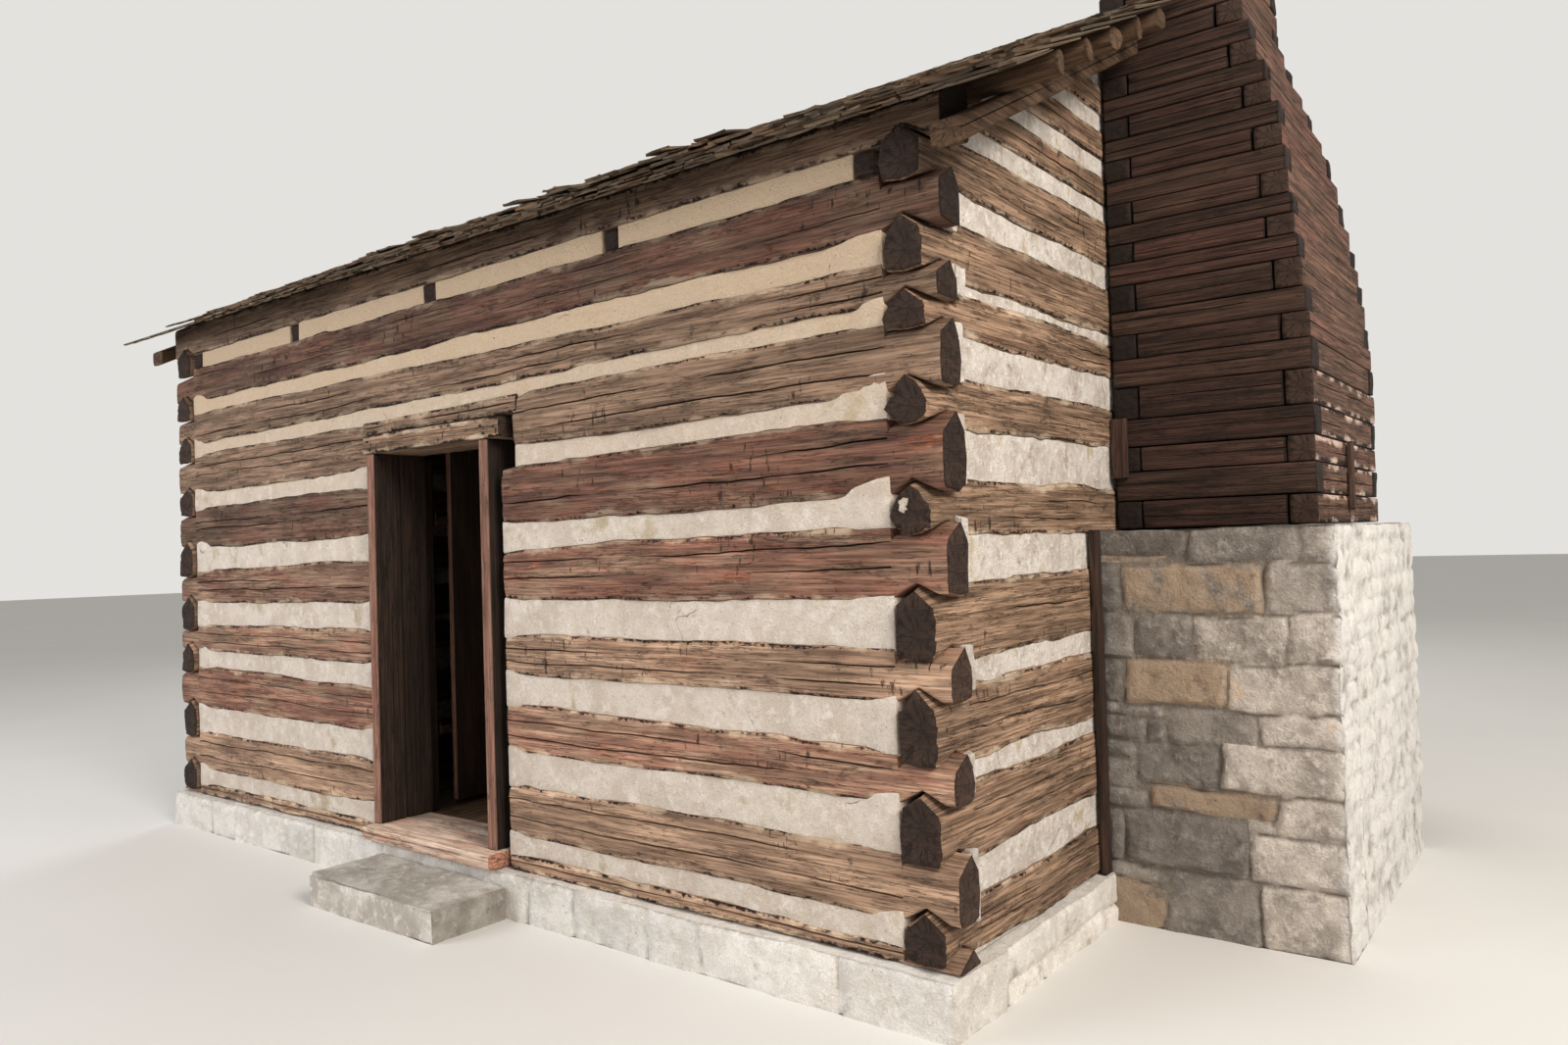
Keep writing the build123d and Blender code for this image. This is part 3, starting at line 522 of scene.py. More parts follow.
def surface(tree, base, lift=None, strength=0.0, distance=0.0):
    """Links the colour and the relief to the shader."""
    shader = tree.nodes["Principled BSDF"]
    tree.links.new(base, shader.inputs["Base Color"])
    if lift:
        relief = add(tree, BUMP, {"Strength": strength, "Distance": distance, "Height": lift})
        tree.links.new(relief, shader.inputs["Normal"])


def noises(tree, spot, rows, roughness):
    """One noise for each row: its name, its scale (one number, or one an axis) and its shift."""
    laid = {}
    for key, scale, shift in rows:
        stretch = {"Scale": scale} if isinstance(scale, tuple) else {}
        place = add(tree, MAPPING, {"Vector": spot, "Location": shift, **stretch})
        even = 1.0 if stretch else scale
        laid[key] = add(tree, NOISE, {"Vector": place, "Scale": even, "Detail": 5.0, "Roughness": roughness})
    return laid


def crossing(tree, noise, narrow, wide, strength):
    """A thin winding line: strength where the noise is within narrow of its middle, and 0 past wide."""
    away = add(tree, MATH, {0: noise, 1: 0.5}, **LESS)
    away = add(tree, MATH, {0: away}, **SIZE)
    return add(tree, RANGE, {0: away, 1: narrow, 2: wide, 3: strength, 4: 0.0}, **SMOOTH)


def reddened(tree, noise, gain, rust, low, high, most):
    """How red a place is: gain times the noise less its middle, plus the rust mark, eased between low and
    high."""
    share = add(tree, MATH, {0: noise, 1: gain, 2: -gain / 2}, **TIMES_PLUS)
    share = add(tree, MATH, {0: share, 1: rust}, **PLUS)
    return add(tree, RANGE, {0: share, 1: low, 2: high, 4: most}, **SMOOTH)


def over_rim(tree, noise, gain, shift, rim, low, high, most):
    """How far clay covers a face from its rim: gain times the noise plus shift is its reach in metres, less
    the distance from the rim, eased from low to high."""
    reach = add(tree, MATH, {0: noise, 1: gain, 2: shift}, **TIMES_PLUS)
    past = add(tree, MATH, {0: reach, 1: rim}, **LESS)
    return add(tree, RANGE, {0: past, 1: low, 2: high, 4: most}, **SMOOTH)


def end_grain(tree, spot, light, dark, crack):
    """Rings 6 mm apart round the pith, which is the middle of the UV map there, with splits out from it and
    rot. True rings are 2 mm apart, too fine to show."""
    parts = add(tree, PARTS, {0: spot}).node
    far = add(tree, "ShaderNodeVectorMath", {0: spot}, "Value", operation="LENGTH")
    waver = add(tree, NOISE, {"Vector": spot, "Scale": 22.0, "Detail": 3.0})
    turned = add(tree, MATH, {0: waver, 1: 0.02, 2: far}, **TIMES_PLUS)
    wheel = add(tree, MATH, {0: turned, 1: 2 * pi / 0.006}, **TIMES)
    rings = add(tree, MATH, {0: wheel}, operation="SINE")
    rings = add(tree, RANGE, {0: rings, 1: -1.0, 2: 1.0, 4: 0.6})
    angle = add(tree, MATH, {0: parts.outputs[1], 1: parts.outputs[0]}, operation="ARCTAN2")
    around = add(tree, "ShaderNodeCombineXYZ", {0: angle, 1: far})
    around = add(tree, MAPPING, {"Vector": around, "Scale": (2.4, 4.0, 1)})
    ray = add(tree, NOISE, {"Vector": around, "Scale": 1.0, "Detail": 3.0})
    rot = add(tree, NOISE, {"Vector": spot, "Scale": 38.0, "Detail": 5.0})
    rot = add(tree, RANGE, {0: rot, 1: 0.42, 2: 0.7, 4: 0.7}, **SMOOTH)
    butt = add(tree, MIX, {0: rings, 6: light, 7: dark}, 2, **BLEND)
    for weight in (rot, crossing(tree, ray, 0.004, 0.02, 0.9)):
        butt = add(tree, MIX, {0: weight, 6: butt, 7: crack}, 2, **BLEND)
    return butt


def timber_finish(name, palette, streak=0.6, axe=0.0, flush=None, smear=None, pale=None, pale_from=0.66,
                  bump=0.006, clouds=0.12):
    """Weathered wood on the UV map, u along the grain in metres. Grain is noise drawn out along u, 4 mm and
    24 mm across, since true grain is too fine to show. Broad clouds of 0.5 m make the tone uneven, and
    patches 0.4 m long go red by the rust mark. Checks, broad and hair fine, are the places where a drawn-out
    noise crosses its middle. Axe scores are drawn out across the grain, in groups. Clay is smeared over the
    rim of a log face, and where the rim is left bare a dark line along it is painted shade for the gap
    between log and clay. palette holds the light and the dark tone, both again where the wood is red, the
    cracks, and the light and the dark rings of an end."""
    light, dark, red_light, red_dark, crack, end_light, end_dark = palette.split()
    material, tree = new_finish(name, 0.82, 0.25)
    spot = add(tree, "ShaderNodeUVMap", uv_map="UVMap")
    tone, rust, end, rim, split = (add(tree, MARK, None, "Fac", attribute_name=key)
                                   for key in ("tone", "rust", "end", "rim", "split"))
    laid = noises(tree, spot, (("fibre", (4, 150, 1), (0, 0, 0)), ("grain", (1.6, 40, 1), (3, 1, 0)),
                               ("patch", (2.4, 9, 1), (7, 2, 0)), ("check", (1.7, 26, 1), (5, 5, 0)),
                               ("gate", (1.1, 5, 1), (9, 4, 0)), ("score", (40, 11, 1), (2, 8, 0)),
                               ("cloud", (1.3, 6, 1), (2, 2, 0)), ("hair", (3.2, 58, 1), (6, 6, 0)),
                               ("group", (1.6, 5, 1), (4, 6, 0)), ("bloom", (6, 16, 1), (1, 9, 0)),
                               ("edge", (5, 7, 1), (6, 3, 0)), ("fray", (45, 45, 1), (8, 1, 0))), 0.62)
    grain = add(tree, RANGE, {0: laid["grain"], 1: 0.34, 2: 0.66}, **SMOOTH)
    plain = add(tree, MIX, {0: grain, 6: dark, 7: light}, 2, **BLEND)
    red = add(tree, MIX, {0: grain, 6: red_dark, 7: red_light}, 2, **BLEND)
    share = reddened(tree, laid["patch"], 1.6, rust, 0.25, 0.75, 1.0)
    base = add(tree, MIX, {0: share, 6: plain, 7: red}, 2, **BLEND)
    if flush:
        ember = add(tree, MATH, {0: laid["bloom"], 1: share}, **TIMES)
        ember = add(tree, RANGE, {0: ember, 1: 0.54, 2: 0.70, 4: 0.6}, **SMOOTH)
        base = add(tree, MIX, {0: ember, 6: base, 7: flush}, 2, **BLEND)
    if pale:
        film = add(tree, RANGE, {0: laid["bloom"], 1: pale_from, 2: pale_from + 0.12, 4: 0.75}, **SMOOTH)
        base = add(tree, MIX, {0: film, 6: base, 7: pale}, 2, **BLEND)
    lines = add(tree, RANGE, {0: laid["fibre"], 1: 0.36, 2: 0.58, 3: 1 - 0.6 * streak, 4: 1.14}, **SMOOTH)
    base = add(tree, MIX, {0: 1.0, 6: base, 7: lines}, 2, **SHADE)

    # Everything that is as dark as an open crack
    gate = add(tree, RANGE, {0: laid["gate"], 1: 0.45, 2: 0.55, 4: 0.8}, **SMOOTH)
    broad = add(tree, MATH, {0: crossing(tree, laid["check"], 0.001, 0.010, 1.0), 1: gate}, **TIMES)
    gate = add(tree, RANGE, {0: laid["bloom"], 1: 0.46, 2: 0.58}, **SMOOTH)
    fine = add(tree, MATH, {0: crossing(tree, laid["hair"], 0.002, 0.022, 0.6), 1: gate}, **TIMES)
    marks = [fine]
    if axe:
        score = add(tree, RANGE, {0: laid["score"], 1: 0.57, 2: 0.64, 4: axe}, **SMOOTH)
        group = add(tree, RANGE, {0: laid["group"], 1: 0.52, 2: 0.60}, **SMOOTH)
        marks.append(add(tree, MATH, {0: score, 1: group}, **TIMES))
    marks.append(split)
    if smear:
        over = over_rim(tree, laid["edge"], 0.16, -0.070, rim, -0.012, 0.014, 0.6)
        base = add(tree, MIX, {0: over, 6: base, 7: smear}, 2, **BLEND)
        # Painted shade: a dark line along the rim where the clay leaves it bare, for the gap between log and
        # clay
        gap = over_rim(tree, laid["fray"], 0.06, -0.019, rim, -0.003, 0.002, 1.0)
        bare = add(tree, RANGE, {0: laid["edge"], 1: 0.46, 2: 0.56, 3: 1.0, 4: 0.0}, **SMOOTH)
        marks.append(add(tree, MATH, {0: gap, 1: bare}, **TIMES))
    dark_lines = broad
    for mark in marks:
        dark_lines = add(tree, MATH, {0: dark_lines, 1: mark}, **LARGER)
    base = add(tree, MIX, {0: dark_lines, 6: base, 7: crack}, 2, **BLEND)
    butt = end_grain(tree, spot, end_light, end_dark, crack)
    base = add(tree, MIX, {0: end, 6: base, 7: butt}, 2, **BLEND)
    level = add(tree, RANGE, {0: tone, 2: 1.5, 3: 0.5, 4: 2.0})
    cloud = add(tree, RANGE, {0: laid["cloud"], 1: 0.36, 2: 0.64, 3: 1 - clouds, 4: 1 + clouds}, **SMOOTH)
    level = add(tree, MATH, {0: level, 1: cloud}, **TIMES)
    base = add(tree, MIX, {0: 1.0, 6: base, 7: level}, 2, **SHADE)
    lift = add(tree, MATH, {0: laid["grain"], 1: 0.6, 2: laid["fibre"]}, **TIMES_PLUS)
    lift = add(tree, MATH, {0: dark_lines, 1: -0.9, 2: lift}, **TIMES_PLUS)
    surface(tree, base, lift, 0.75, bump)
    return material


def mineral_finish(name, palette, grain, patch, bump, stain_from=0.58, pits=0.0, cracks=0.0, above=None,
                   wash=None):
    """Stone, mortar or clay over Object coordinates. Patches of 0.15 m, of 40 mm and of some millimetres mix
    the colours. The rust mark brings in the rusty colour and the split mark the mortar. above is a colour
    that comes in with height. Pits are small dark flecks, and cracks the borders of a few random cells.
    wash is a white coat on the side of the chimney that faces away from the wall, partly limewash and partly
    painted light. palette holds the light, the dark and the third tone, the stain, the rusty tone and the
    mortar."""
    light, dark, third, stain, rusty, mortar = palette.split()
    material, tree = new_finish(name, 0.92, 0.2)
    spot = add(tree, PLACE, None, "Object")
    tone, rust, split = (add(tree, MARK, None, "Fac", attribute_name=key)
                         for key in ("tone", "rust", "split"))
    laid = noises(tree, spot, (("large", patch, (0, 0, 0)), ("middle", patch * 4, (3, 1, 7)),
                               ("fine", grain, (8, 2, 5)), ("stain", patch * 1.7, (5, 9, 2)),
                               ("pit", 75.0, (1, 6, 4)), ("gate", 3.1, (4, 4, 1))), 0.64)
    large = add(tree, RANGE, {0: laid["large"], 1: 0.36, 2: 0.64}, **SMOOTH)
    base = add(tree, MIX, {0: large, 6: dark, 7: light}, 2, **BLEND)
    middle = add(tree, RANGE, {0: laid["middle"], 1: 0.48, 2: 0.70, 4: 0.8}, **SMOOTH)
    layers = [(middle, third), (reddened(tree, laid["large"], 2.6, rust, 0.45, 0.85, 0.85), rusty)]
    parts = add(tree, PARTS, {0: spot}).node
    if above:
        rise = add(tree, MATH, {0: laid["large"], 1: 0.9, 2: parts.outputs[2]}, **TIMES_PLUS)
        layers.append((add(tree, RANGE, {0: rise, 1: ABOVE_FROM, 2: ABOVE_FROM + 1.2}, **SMOOTH), above))
    dirt = add(tree, RANGE, {0: laid["stain"], 1: stain_from, 2: stain_from + 0.16, 4: 0.75}, **SMOOTH)
    for weight, over in layers + [(dirt, stain)]:
        base = add(tree, MIX, {0: weight, 6: base, 7: over}, 2, **BLEND)
    level = add(tree, RANGE, {0: tone, 2: 1.5, 3: 0.45, 4: 2.25})
    base = add(tree, MIX, {0: 1.0, 6: base, 7: level}, 2, **SHADE)
    joint = add(tree, RANGE, {0: laid["middle"], 1: 0.35, 2: 0.65, 3: 0.82, 4: 1.12}, **SMOOTH)
    joint = add(tree, MIX, {0: 1.0, 6: mortar, 7: joint}, 2, **SHADE)
    base = add(tree, MIX, {0: split, 6: base, 7: joint}, 2, **BLEND)
    # The side away from the wall turns near white here: limewash, partly painted light on that side
    if wash:
        worn = add(tree, MATH, {0: laid["stain"], 1: 0.10, 2: parts.outputs[0]}, **TIMES_PLUS)
        worn = add(tree, RANGE, {0: worn, 1: WASH_AND_LIGHT_FROM, 2: WASH_AND_LIGHT_FROM + 0.05, 4: 0.88}, **SMOOTH)
        base = add(tree, MIX, {0: worn, 6: base, 7: wash}, 2, **BLEND)
    lift = add(tree, MATH, {0: laid["middle"], 1: 2.2, 2: laid["fine"]}, **TIMES_PLUS)
    flecks = None
    if pits:
        flecks = add(tree, RANGE, {0: laid["pit"], 1: 0.66, 2: 0.72, 4: pits}, **SMOOTH)
    if cracks:
        bent = add(tree, NOISE, {"Vector": spot, "Scale": 14.0, "Detail": 5.0}, "Color")
        bent = add(tree, MIX, {0: 0.06, 4: spot, 5: bent}, 1, data_type="VECTOR")
        cells = add(tree, "ShaderNodeTexVoronoi", {"Vector": bent, "Scale": 4.0}, "Distance",
                    feature="DISTANCE_TO_EDGE")
        line = add(tree, RANGE, {0: cells, 1: 0.001, 2: 0.009, 3: cracks, 4: 0.0}, **SMOOTH)
        gate = add(tree, RANGE, {0: laid["gate"], 1: 0.56, 2: 0.64}, **SMOOTH)
        line = add(tree, MATH, {0: line, 1: gate}, **TIMES)
        flecks = add(tree, MATH, {0: line, 1: flecks}, **LARGER) if flecks else line
    if flecks:
        base = add(tree, MIX, {0: flecks, 6: base, 7: "#4c3d30"}, 2, **BLEND)
        lift = add(tree, MATH, {0: flecks, 1: -1.2, 2: lift}, **TIMES_PLUS)
    grit = add(tree, RANGE, {0: laid["fine"], 1: 0.3, 2: 0.7, 3: 0.88, 4: 1.08}, **SMOOTH)
    base = add(tree, MIX, {0: 1.0, 6: base, 7: grit}, 2, **SHADE)
    surface(tree, base, lift, 0.8, bump)
    return material


# Broad-axe hewn oak, weathered: tan-grey and red-brown along the grain, with clay smeared on its rims and
# the short scores of the axe across it
front_log = timber_finish("hewn_oak_front", "#a3866f #785f4d #966a57 #6a4a3e #1a120e #44332a #1d1510",
                          axe=0.85, streak=0.72, flush="#a8603f", smear="#c3ad92", pale="#b79f88",
                          clouds=0.26)
# The gable's oak is less red, tan with a strong open grain
gable_log_finish = timber_finish("hewn_oak_gable", "#a5876f #6d5644 #906a54 #63493a #1a120d #44332a #1d1510",
                                 axe=0.9, streak=0.9, smear="#c9b79f", pale="#b89f86", clouds=0.22)
# Clay daub, trowelled and dried: cream white, tan towards the eaves and at the corners, with hair cracks
daub = mineral_finish("clay_daub", "#ded2c5 #ccbdad #e9e0d6 #b5a58c #b3a285 #b0a084", grain=150, patch=5.0,
                      cracks=0.6, pits=0.7, above="#c9b195", bump=0.010, stain_from=0.60)
# The gable's clay is whiter, rougher and more pitted
rough_daub = mineral_finish("rough_clay_daub", "#d8d0c8 #bbafa4 #e4ded8 #9c8b76 #b3a285 #b0a084", grain=130,
                            patch=7.0, cracks=0.6, pits=0.95, bump=0.010, stain_from=0.57)
# Quarried limestone, rough split: dark and light grey, some blocks of tan sandstone, flush grey mortar, and a
# white side away from the wall that is partly limewash and partly painted light
field_stone = mineral_finish("split_limestone", "#958d85 #706963 #a59e96 #57514c #a28c76 #81786e", grain=120,
                             patch=6.0, pits=0.6, bump=0.008, wash="#ebe8e3")
# Foundation stones under old limewash, white in the joints as well
washed_stone = mineral_finish("limewashed_stone", "#e6e1da #d3ccc2 #eeebe5 #a89e91 #c6b9a4 #d3ccc1",
                              grain=130, patch=6.0, pits=0.6, bump=0.007)
# The step is one slab of greyer limestone, worn smooth
slab_stone = mineral_finish("slab_stone", "#cfc9bf #a9a297 #dcd7cf #7f786f #b5a48a #b4ada2", grain=130,
                            patch=5.0, bump=0.007, pits=0.5)
# Squared stack timbers, dark brown with smoke and age
stack_wood = timber_finish("smoked_oak", "#5b4337 #37281f #5f4137 #3d2a22 #120d0a #382921 #251b16",
                           streak=0.8, axe=0.3, pale="#80695c", pale_from=0.72, smear="#b5a194")
# Split shakes, weathered grey on top, brown underneath and at their edges
shake_wood = timber_finish("split_shake", "#8f7d68 #5e4f40 #7f6046 #57402f #241c15 #6d5a46 #4d3e30",
                           streak=0.95, bump=0.003)
# Poles with the bark peeled off: an even, smooth brown
pole_wood = timber_finish("peeled_pole", "#6c533f #463427 #5f4433 #3d2a1f #241a13 #6a5139 #47352a",
                          streak=0.5)
# Door frame and leaf: sawn boards, dark with age and darker still as painted shade inside the doorway
shaded_door_wood = timber_finish("aged_board_painted_shade", "#453429 #2c211b #46302a #2e201a #140e0b #3b2c22 #241a14", streak=0.7)
# Front edges of the door frame: the same boards in a lighter, pinkish brown copy, painted light where the
# edges catch it
lit_edge_wood = timber_finish("board_edge_painted_light", "#9a7563 #7a5748 #94604e #70453a #2a1b15 #6d5142 #4a362b",
                          streak=0.6)
# Threshold: pale wood, worn by feet; the board's raised tone below adds painted light
worn_wood = timber_finish("worn_sill_board", "#d0b9a6 #a98d79 #c0907a #9b6b57 #3b2b20 #b5826c #8c5f4c",
                          streak=0.5, pale="#d6c2a8", pale_from=0.6)
# Floor of split logs: dull brown, with little streaking
floor_wood = timber_finish("floor_puncheon", "#8d7257 #5f4a37 #7c5a42 #503827 #1f1610 #6b5540 #48382a",
                           streak=0.5)


def iron_finish():
    """Forged iron: nearly black, dull, with brown rust in patches of 20 mm."""
    material, tree = new_finish("forged_iron", 0.62, 0.5, 0.85)
    spot = add(tree, PLACE, None, "Object")
    rust = add(tree, NOISE, {"Vector": spot, "Scale": 50.0, "Detail": 5.0})
    rust = add(tree, RANGE, {0: rust, 1: 0.48, 2: 0.62}, **SMOOTH)
    dents = add(tree, NOISE, {"Vector": spot, "Scale": 300.0, "Detail": 3.0})
    surface(tree, add(tree, MIX, {0: rust, 6: "#3b3734", 7: "#5b3b28"}, 2, **BLEND), dents, 0.6, 0.001)
    return material


iron = iron_finish()
for name in ("door_straps", "door_pintles"):
    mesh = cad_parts[name].data
    mesh.materials.clear()
    mesh.materials.append(iron)


# Log walls

def between(left, right):
    """Height as a function of x: level over each corner joint and straight between them."""
    return lambda x: left + (right - left) * np.clip((x - LEFT_INNER) / (RIGHT_INNER - LEFT_INNER), 0, 1)


GABLE_MID_LEFT = (LEFT_FACE + LEFT_INNER) / 2
GABLE_MID_RIGHT = (RIGHT_INNER + RIGHT_FACE) / 2
GABLE_HALF = (RIGHT_FACE - RIGHT_INNER) / 2
WALL_HALF = (FRONT_INNER - FRONT_FACE) / 2

# Tone and rust of each log of the front wall, from the sill up: left of the doorway, and right of it and on
# over it, where the logs are whole
LEFT_LOOKS = [(1.00, 0.0), (0.92, 0.1), (0.72, 0.6), (0.76, 0.45), (0.50, 0.5), (0.10, 0.5)]
RIGHT_LOOKS = [(1.00, 0.0), (0.95, 0.1), (0.92, 0.5), (0.96, 0.3), (0.58, 0.6), (0.28, 0.65), (0.42, 0.15),
               (0.36, 0.1), (0.06, 0.6)]


def jointed(start, stop, low_inner, high_inner, low_middle, high_middle, half):
    """Where a log that reaches over a corner begins its joint, else None, and its notches there, as middle
    and half width."""
    reaches = (start < low_inner, stop > high_inner)
    joints = tuple(inner if over else None for inner, over in zip((low_inner, high_inner), reaches))
    return joints, [(middle, half) for middle, over in zip((low_middle, high_middle), reaches) if over]


def wall_log(index, x0, x1, y, outer, seed, step, look=None, **more):
    """One log of a long wall between x0 and x1, with the joints of the corners that it reaches."""
    (l0, l1), (r0, r1) = LEFT_LOGS[index], RIGHT_LOGS[index]
    joints, notches = jointed(x0, x1, LEFT_INNER, RIGHT_INNER, GABLE_MID_LEFT, GABLE_MID_RIGHT, GABLE_HALF)
    rng = np.random.default_rng(seed)
    tone, rust = look or (rng.uniform(0.35, 0.6), rng.uniform(0, 0.6))
    x0 = x0 + rng.uniform(0.01, 0.03) if joints[0] is not None else x0
    x1 = x1 - rng.uniform(0.01, 0.03) if joints[1] is not None else x1
    cracks = (rng.uniform(-0.4, -0.1), rng.uniform(0.2, 0.5)) if index else (0.1,)
    settings = dict(wave=0.015, ragged=0.0045, spread=0.004, relief=0.003, power=12.0, tone=tone, rust=rust,
                    nip=0.5, worn=0.09, blunt=0.12, crack_levels=cracks, crack_half=0.0032, crack_spans=4,
                    end_play=0.010)
    settings.update(more)
    return timber(0, x0, x1, y, between(l0, r0), between(l1, r1), seed, outer=outer, step=step,
                  joints=joints, notches=notches if index else (), **settings)


front, rear = (FRONT_FACE, FRONT_INNER), (REAR_INNER, REAR_FACE)
# The steps along a log: fine where the photograph's camera is near, and coarse on the unseen sides
FINE_STEP, REAR_STEP = 0.026, 0.080
for name, x0, x1, seed, looks in (("left", LOG_LEFT, LEFT_ENDS - 0.012, 100, LEFT_LOOKS),
                                  ("right", RIGHT_ENDS + 0.012, LOG_RIGHT, 120, RIGHT_LOOKS)):
    piece("hewn_logs_front_" + name,
          [wall_log(i, x0, x1, front, -1, seed + i, FINE_STEP, looks[i]) for i in range(len(LEFT_LOOKS))],
          front_log, ["front_logs_" + name])


# From the door head's right end to the log beside it
HEAD_GAP = 0.070


def upper_front_logs():
    """The three whole logs over the doorway. The lowest is laid in two lengths, because the door head is let
    into it, with a thin piece over the head."""
    skins = [wall_log(i, LOG_LEFT, LOG_RIGHT, front, -1, 134 + i, FINE_STEP, RIGHT_LOOKS[i]) for i in (7, 8)]
    head_low, head_high = corner("door_head")
    left_end, right_start = head_low[0] - 0.004, head_high[0] + HEAD_GAP
    for x0, x1, seed, look in ((LOG_LEFT, left_end, 143, (0.40, 0.2)),
                               (right_start, LOG_RIGHT, 144, RIGHT_LOOKS[6])):
        skins.append(wall_log(6, x0, x1, front, -1, seed, FINE_STEP, look, end_play=0.003))
    skins.append(timber(0, left_end - 0.02, right_start + 0.02, front, head_high[2] + 0.004,
                        between(LEFT_LOGS[6][1], RIGHT_LOGS[6][1]), 145, power=12.0, step=FINE_STEP,
                        wave=0.006, tone=0.42, rust=0.2, crack_levels=(0.1,)))
    return skins


piece("hewn_logs_front_upper", upper_front_logs(), front_log, ["front_logs_upper"])
piece("hewn_logs_rear", [wall_log(i, LOG_LEFT, LOG_RIGHT, rear, 1, 160 + i, REAR_STEP) for i in range(9)],
      front_log, ["rear_logs"])


def wall_plate(y, outer, seed, step):
    """Top log of a long wall, its top tilted to the roof's slope."""
    return timber(0, LOG_LEFT, LOG_RIGHT, y, between(LEFT_PLATE, RIGHT_PLATE), PLATE_TOP - 0.004, seed,
                  outer=outer, tone=0.08, rust=0.2, step=step, wave=0.005, ragged=0.003, power=12.0,
                  tilt=2 * WALL_HALF * tan(PITCH), crack_levels=(-0.1,), end_play=0.008,
                  notches=[(GABLE_MID_LEFT, GABLE_HALF), (GABLE_MID_RIGHT, GABLE_HALF)])


piece("hewn_plate_front", [wall_plate(front, -1, 181, FINE_STEP)], front_log, ["front_plate"])
piece("hewn_plate_rear", [wall_plate(rear, 1, 182, 0.070)], front_log, ["rear_plate"])


def gable_heights(logs, plate_bottom):
    """Bottom and top of each gable log, from the long-wall logs under and over it."""
    bottoms = [log[0] for log in logs[1:]] + [plate_bottom]
    return [(log[1] - V_RISE, bottom + V_RISE) for log, bottom in zip(logs, bottoms)]


left_gable = gable_heights(LEFT_LOGS, LEFT_PLATE)
right_gable = gable_heights(RIGHT_LOGS, RIGHT_PLATE)
# This many of the right gable's logs are cut at the fireplace, and these of the others have round ends
FIRE_COURSES = 3
ROUND_ENDS = (1, 2)


def gable_log(x, outer, heights, y0, y1, seed, step, blunt=0.15):
    """One log of a gable wall between y0 and y1, with the joints of the corners that it reaches. blunt says
    how round its ends are."""
    joints, notches = jointed(y0, y1, FRONT_INNER, REAR_INNER, FRONT_FACE + WALL_HALF, REAR_FACE - WALL_HALF,
                              WALL_HALF)
    rng = np.random.default_rng(seed)
    y0 = y0 + rng.uniform(0, 0.015) if joints[0] is not None else y0
    y1 = y1 - rng.uniform(0.004, 0.015) if joints[1] is not None else y1
    return timber(1, y0, y1, x, *heights, seed, outer=outer, tone=rng.uniform(0.42, 0.6),
                  rust=rng.uniform(0, 0.3), step=step, wave=0.020, ragged=0.007, spread=0.005, relief=0.0035,
                  power=11.0, worn=0.14, blunt=blunt,
                  crack_levels=(rng.uniform(-0.4, -0.2), rng.uniform(0.1, 0.45)), joints=joints,
                  notches=notches, end_play=0.010, crack_depth=0.018, crack_half=0.003)


left_x, right_x = (LEFT_FACE, LEFT_INNER), (RIGHT_INNER, RIGHT_FACE)
piece("hewn_logs_left_gable",
      [gable_log(left_x, -1, h, GABLE_FRONT, GABLE_REAR, 200 + i, REAR_STEP)
       for i, h in enumerate(left_gable)],
      gable_log_finish, ["left_gable_logs"])
fire = (BACK_LOW[1], BACK_HIGH[1])
lower = []
for i, h in enumerate(right_gable[:FIRE_COURSES]):
    lower.append(gable_log(right_x, 1, h, GABLE_FRONT, fire[0] - 0.008, 220 + i, 0.028))
    lower.append(gable_log(right_x, 1, h, fire[1] + 0.008, GABLE_REAR, 230 + i, 0.060))
piece("hewn_logs_right_gable_lower", lower, gable_log_finish, ["right_gable_logs_lower"])
piece("hewn_logs_right_gable_upper",
      [gable_log(right_x, 1, h, GABLE_FRONT, GABLE_REAR, 240 + i, 0.035, 0.45 if i in ROUND_ENDS else 0.15)
       for i, h in enumerate(right_gable[FIRE_COURSES:])],
      gable_log_finish, ["right_gable_logs_upper"])

# Diameters of the roof's poles, the logs of each gable peak, and the clay between two of them
POLE = 0.085
RIDGE_POLE = 0.110
PEAK_LOGS = 5
PEAK_CLAY = 0.070
POLE_DROP = POLE / cos(PITCH)
HALF_DEPTH = (REAR_FACE - FRONT_FACE) / 2


def roof_under(y):
    """Height of the underside of the shakes at y."""
    return PLATE_TOP + (HALF_DEPTH - abs(y - MID_Y)) * tan(PITCH)


def peak_half(z):
    """Half the width of the gable peak at z, under the poles."""
    return min(HALF_DEPTH - (z + POLE_DROP - PLATE_TOP) / tan(PITCH), HALF_DEPTH - 2 * WALL_HALF)


def peak_levels(first):
    """Bottom and top of each peak log."""
    last = roof_under(MID_Y) - RIDGE_POLE - POLE_DROP
    pitch = (last + PEAK_CLAY - first) / PEAK_LOGS
    return [(first + i * pitch, first + (i + 1) * pitch - PEAK_CLAY) for i in range(PEAK_LOGS)]


def peak_skins(x, outer, gable, seed, step):
    """The logs and the clay of one gable peak: (logs, clay). Each is as wide as the peak at its lower and
    its upper edge."""
    below = gable[-1][1]
    logs, clay = [], []
    for i, (z0, z1) in enumerate(peak_levels(below + PEAK_CLAY)):
        wide, narrow = peak_half(z0), peak_half(z1)
        logs.append(timber(1, MID_Y - wide, MID_Y + wide, x, z0, z1, seed + i, outer=outer, tone=0.42,
                           step=step, wave=0.008, ragged=0.003, relief=0.0035, power=11.0,
                           slant=wide - narrow, crack_levels=(0.0,), end_play=0.002))
        wide, narrow = peak_half(below), peak_half(z0)
        clay.append(timber(1, MID_Y - wide, MID_Y + wide, (x[0] + 0.008, x[1] - 0.008), below - 0.012,
                           z0 + 0.012, seed + 20 + i, outer=outer, step=step, relief=0.004,
                           power=14.0, slant=wide - narrow, end_play=0.001, end_rings=2))
        below = z1
    return logs, clay


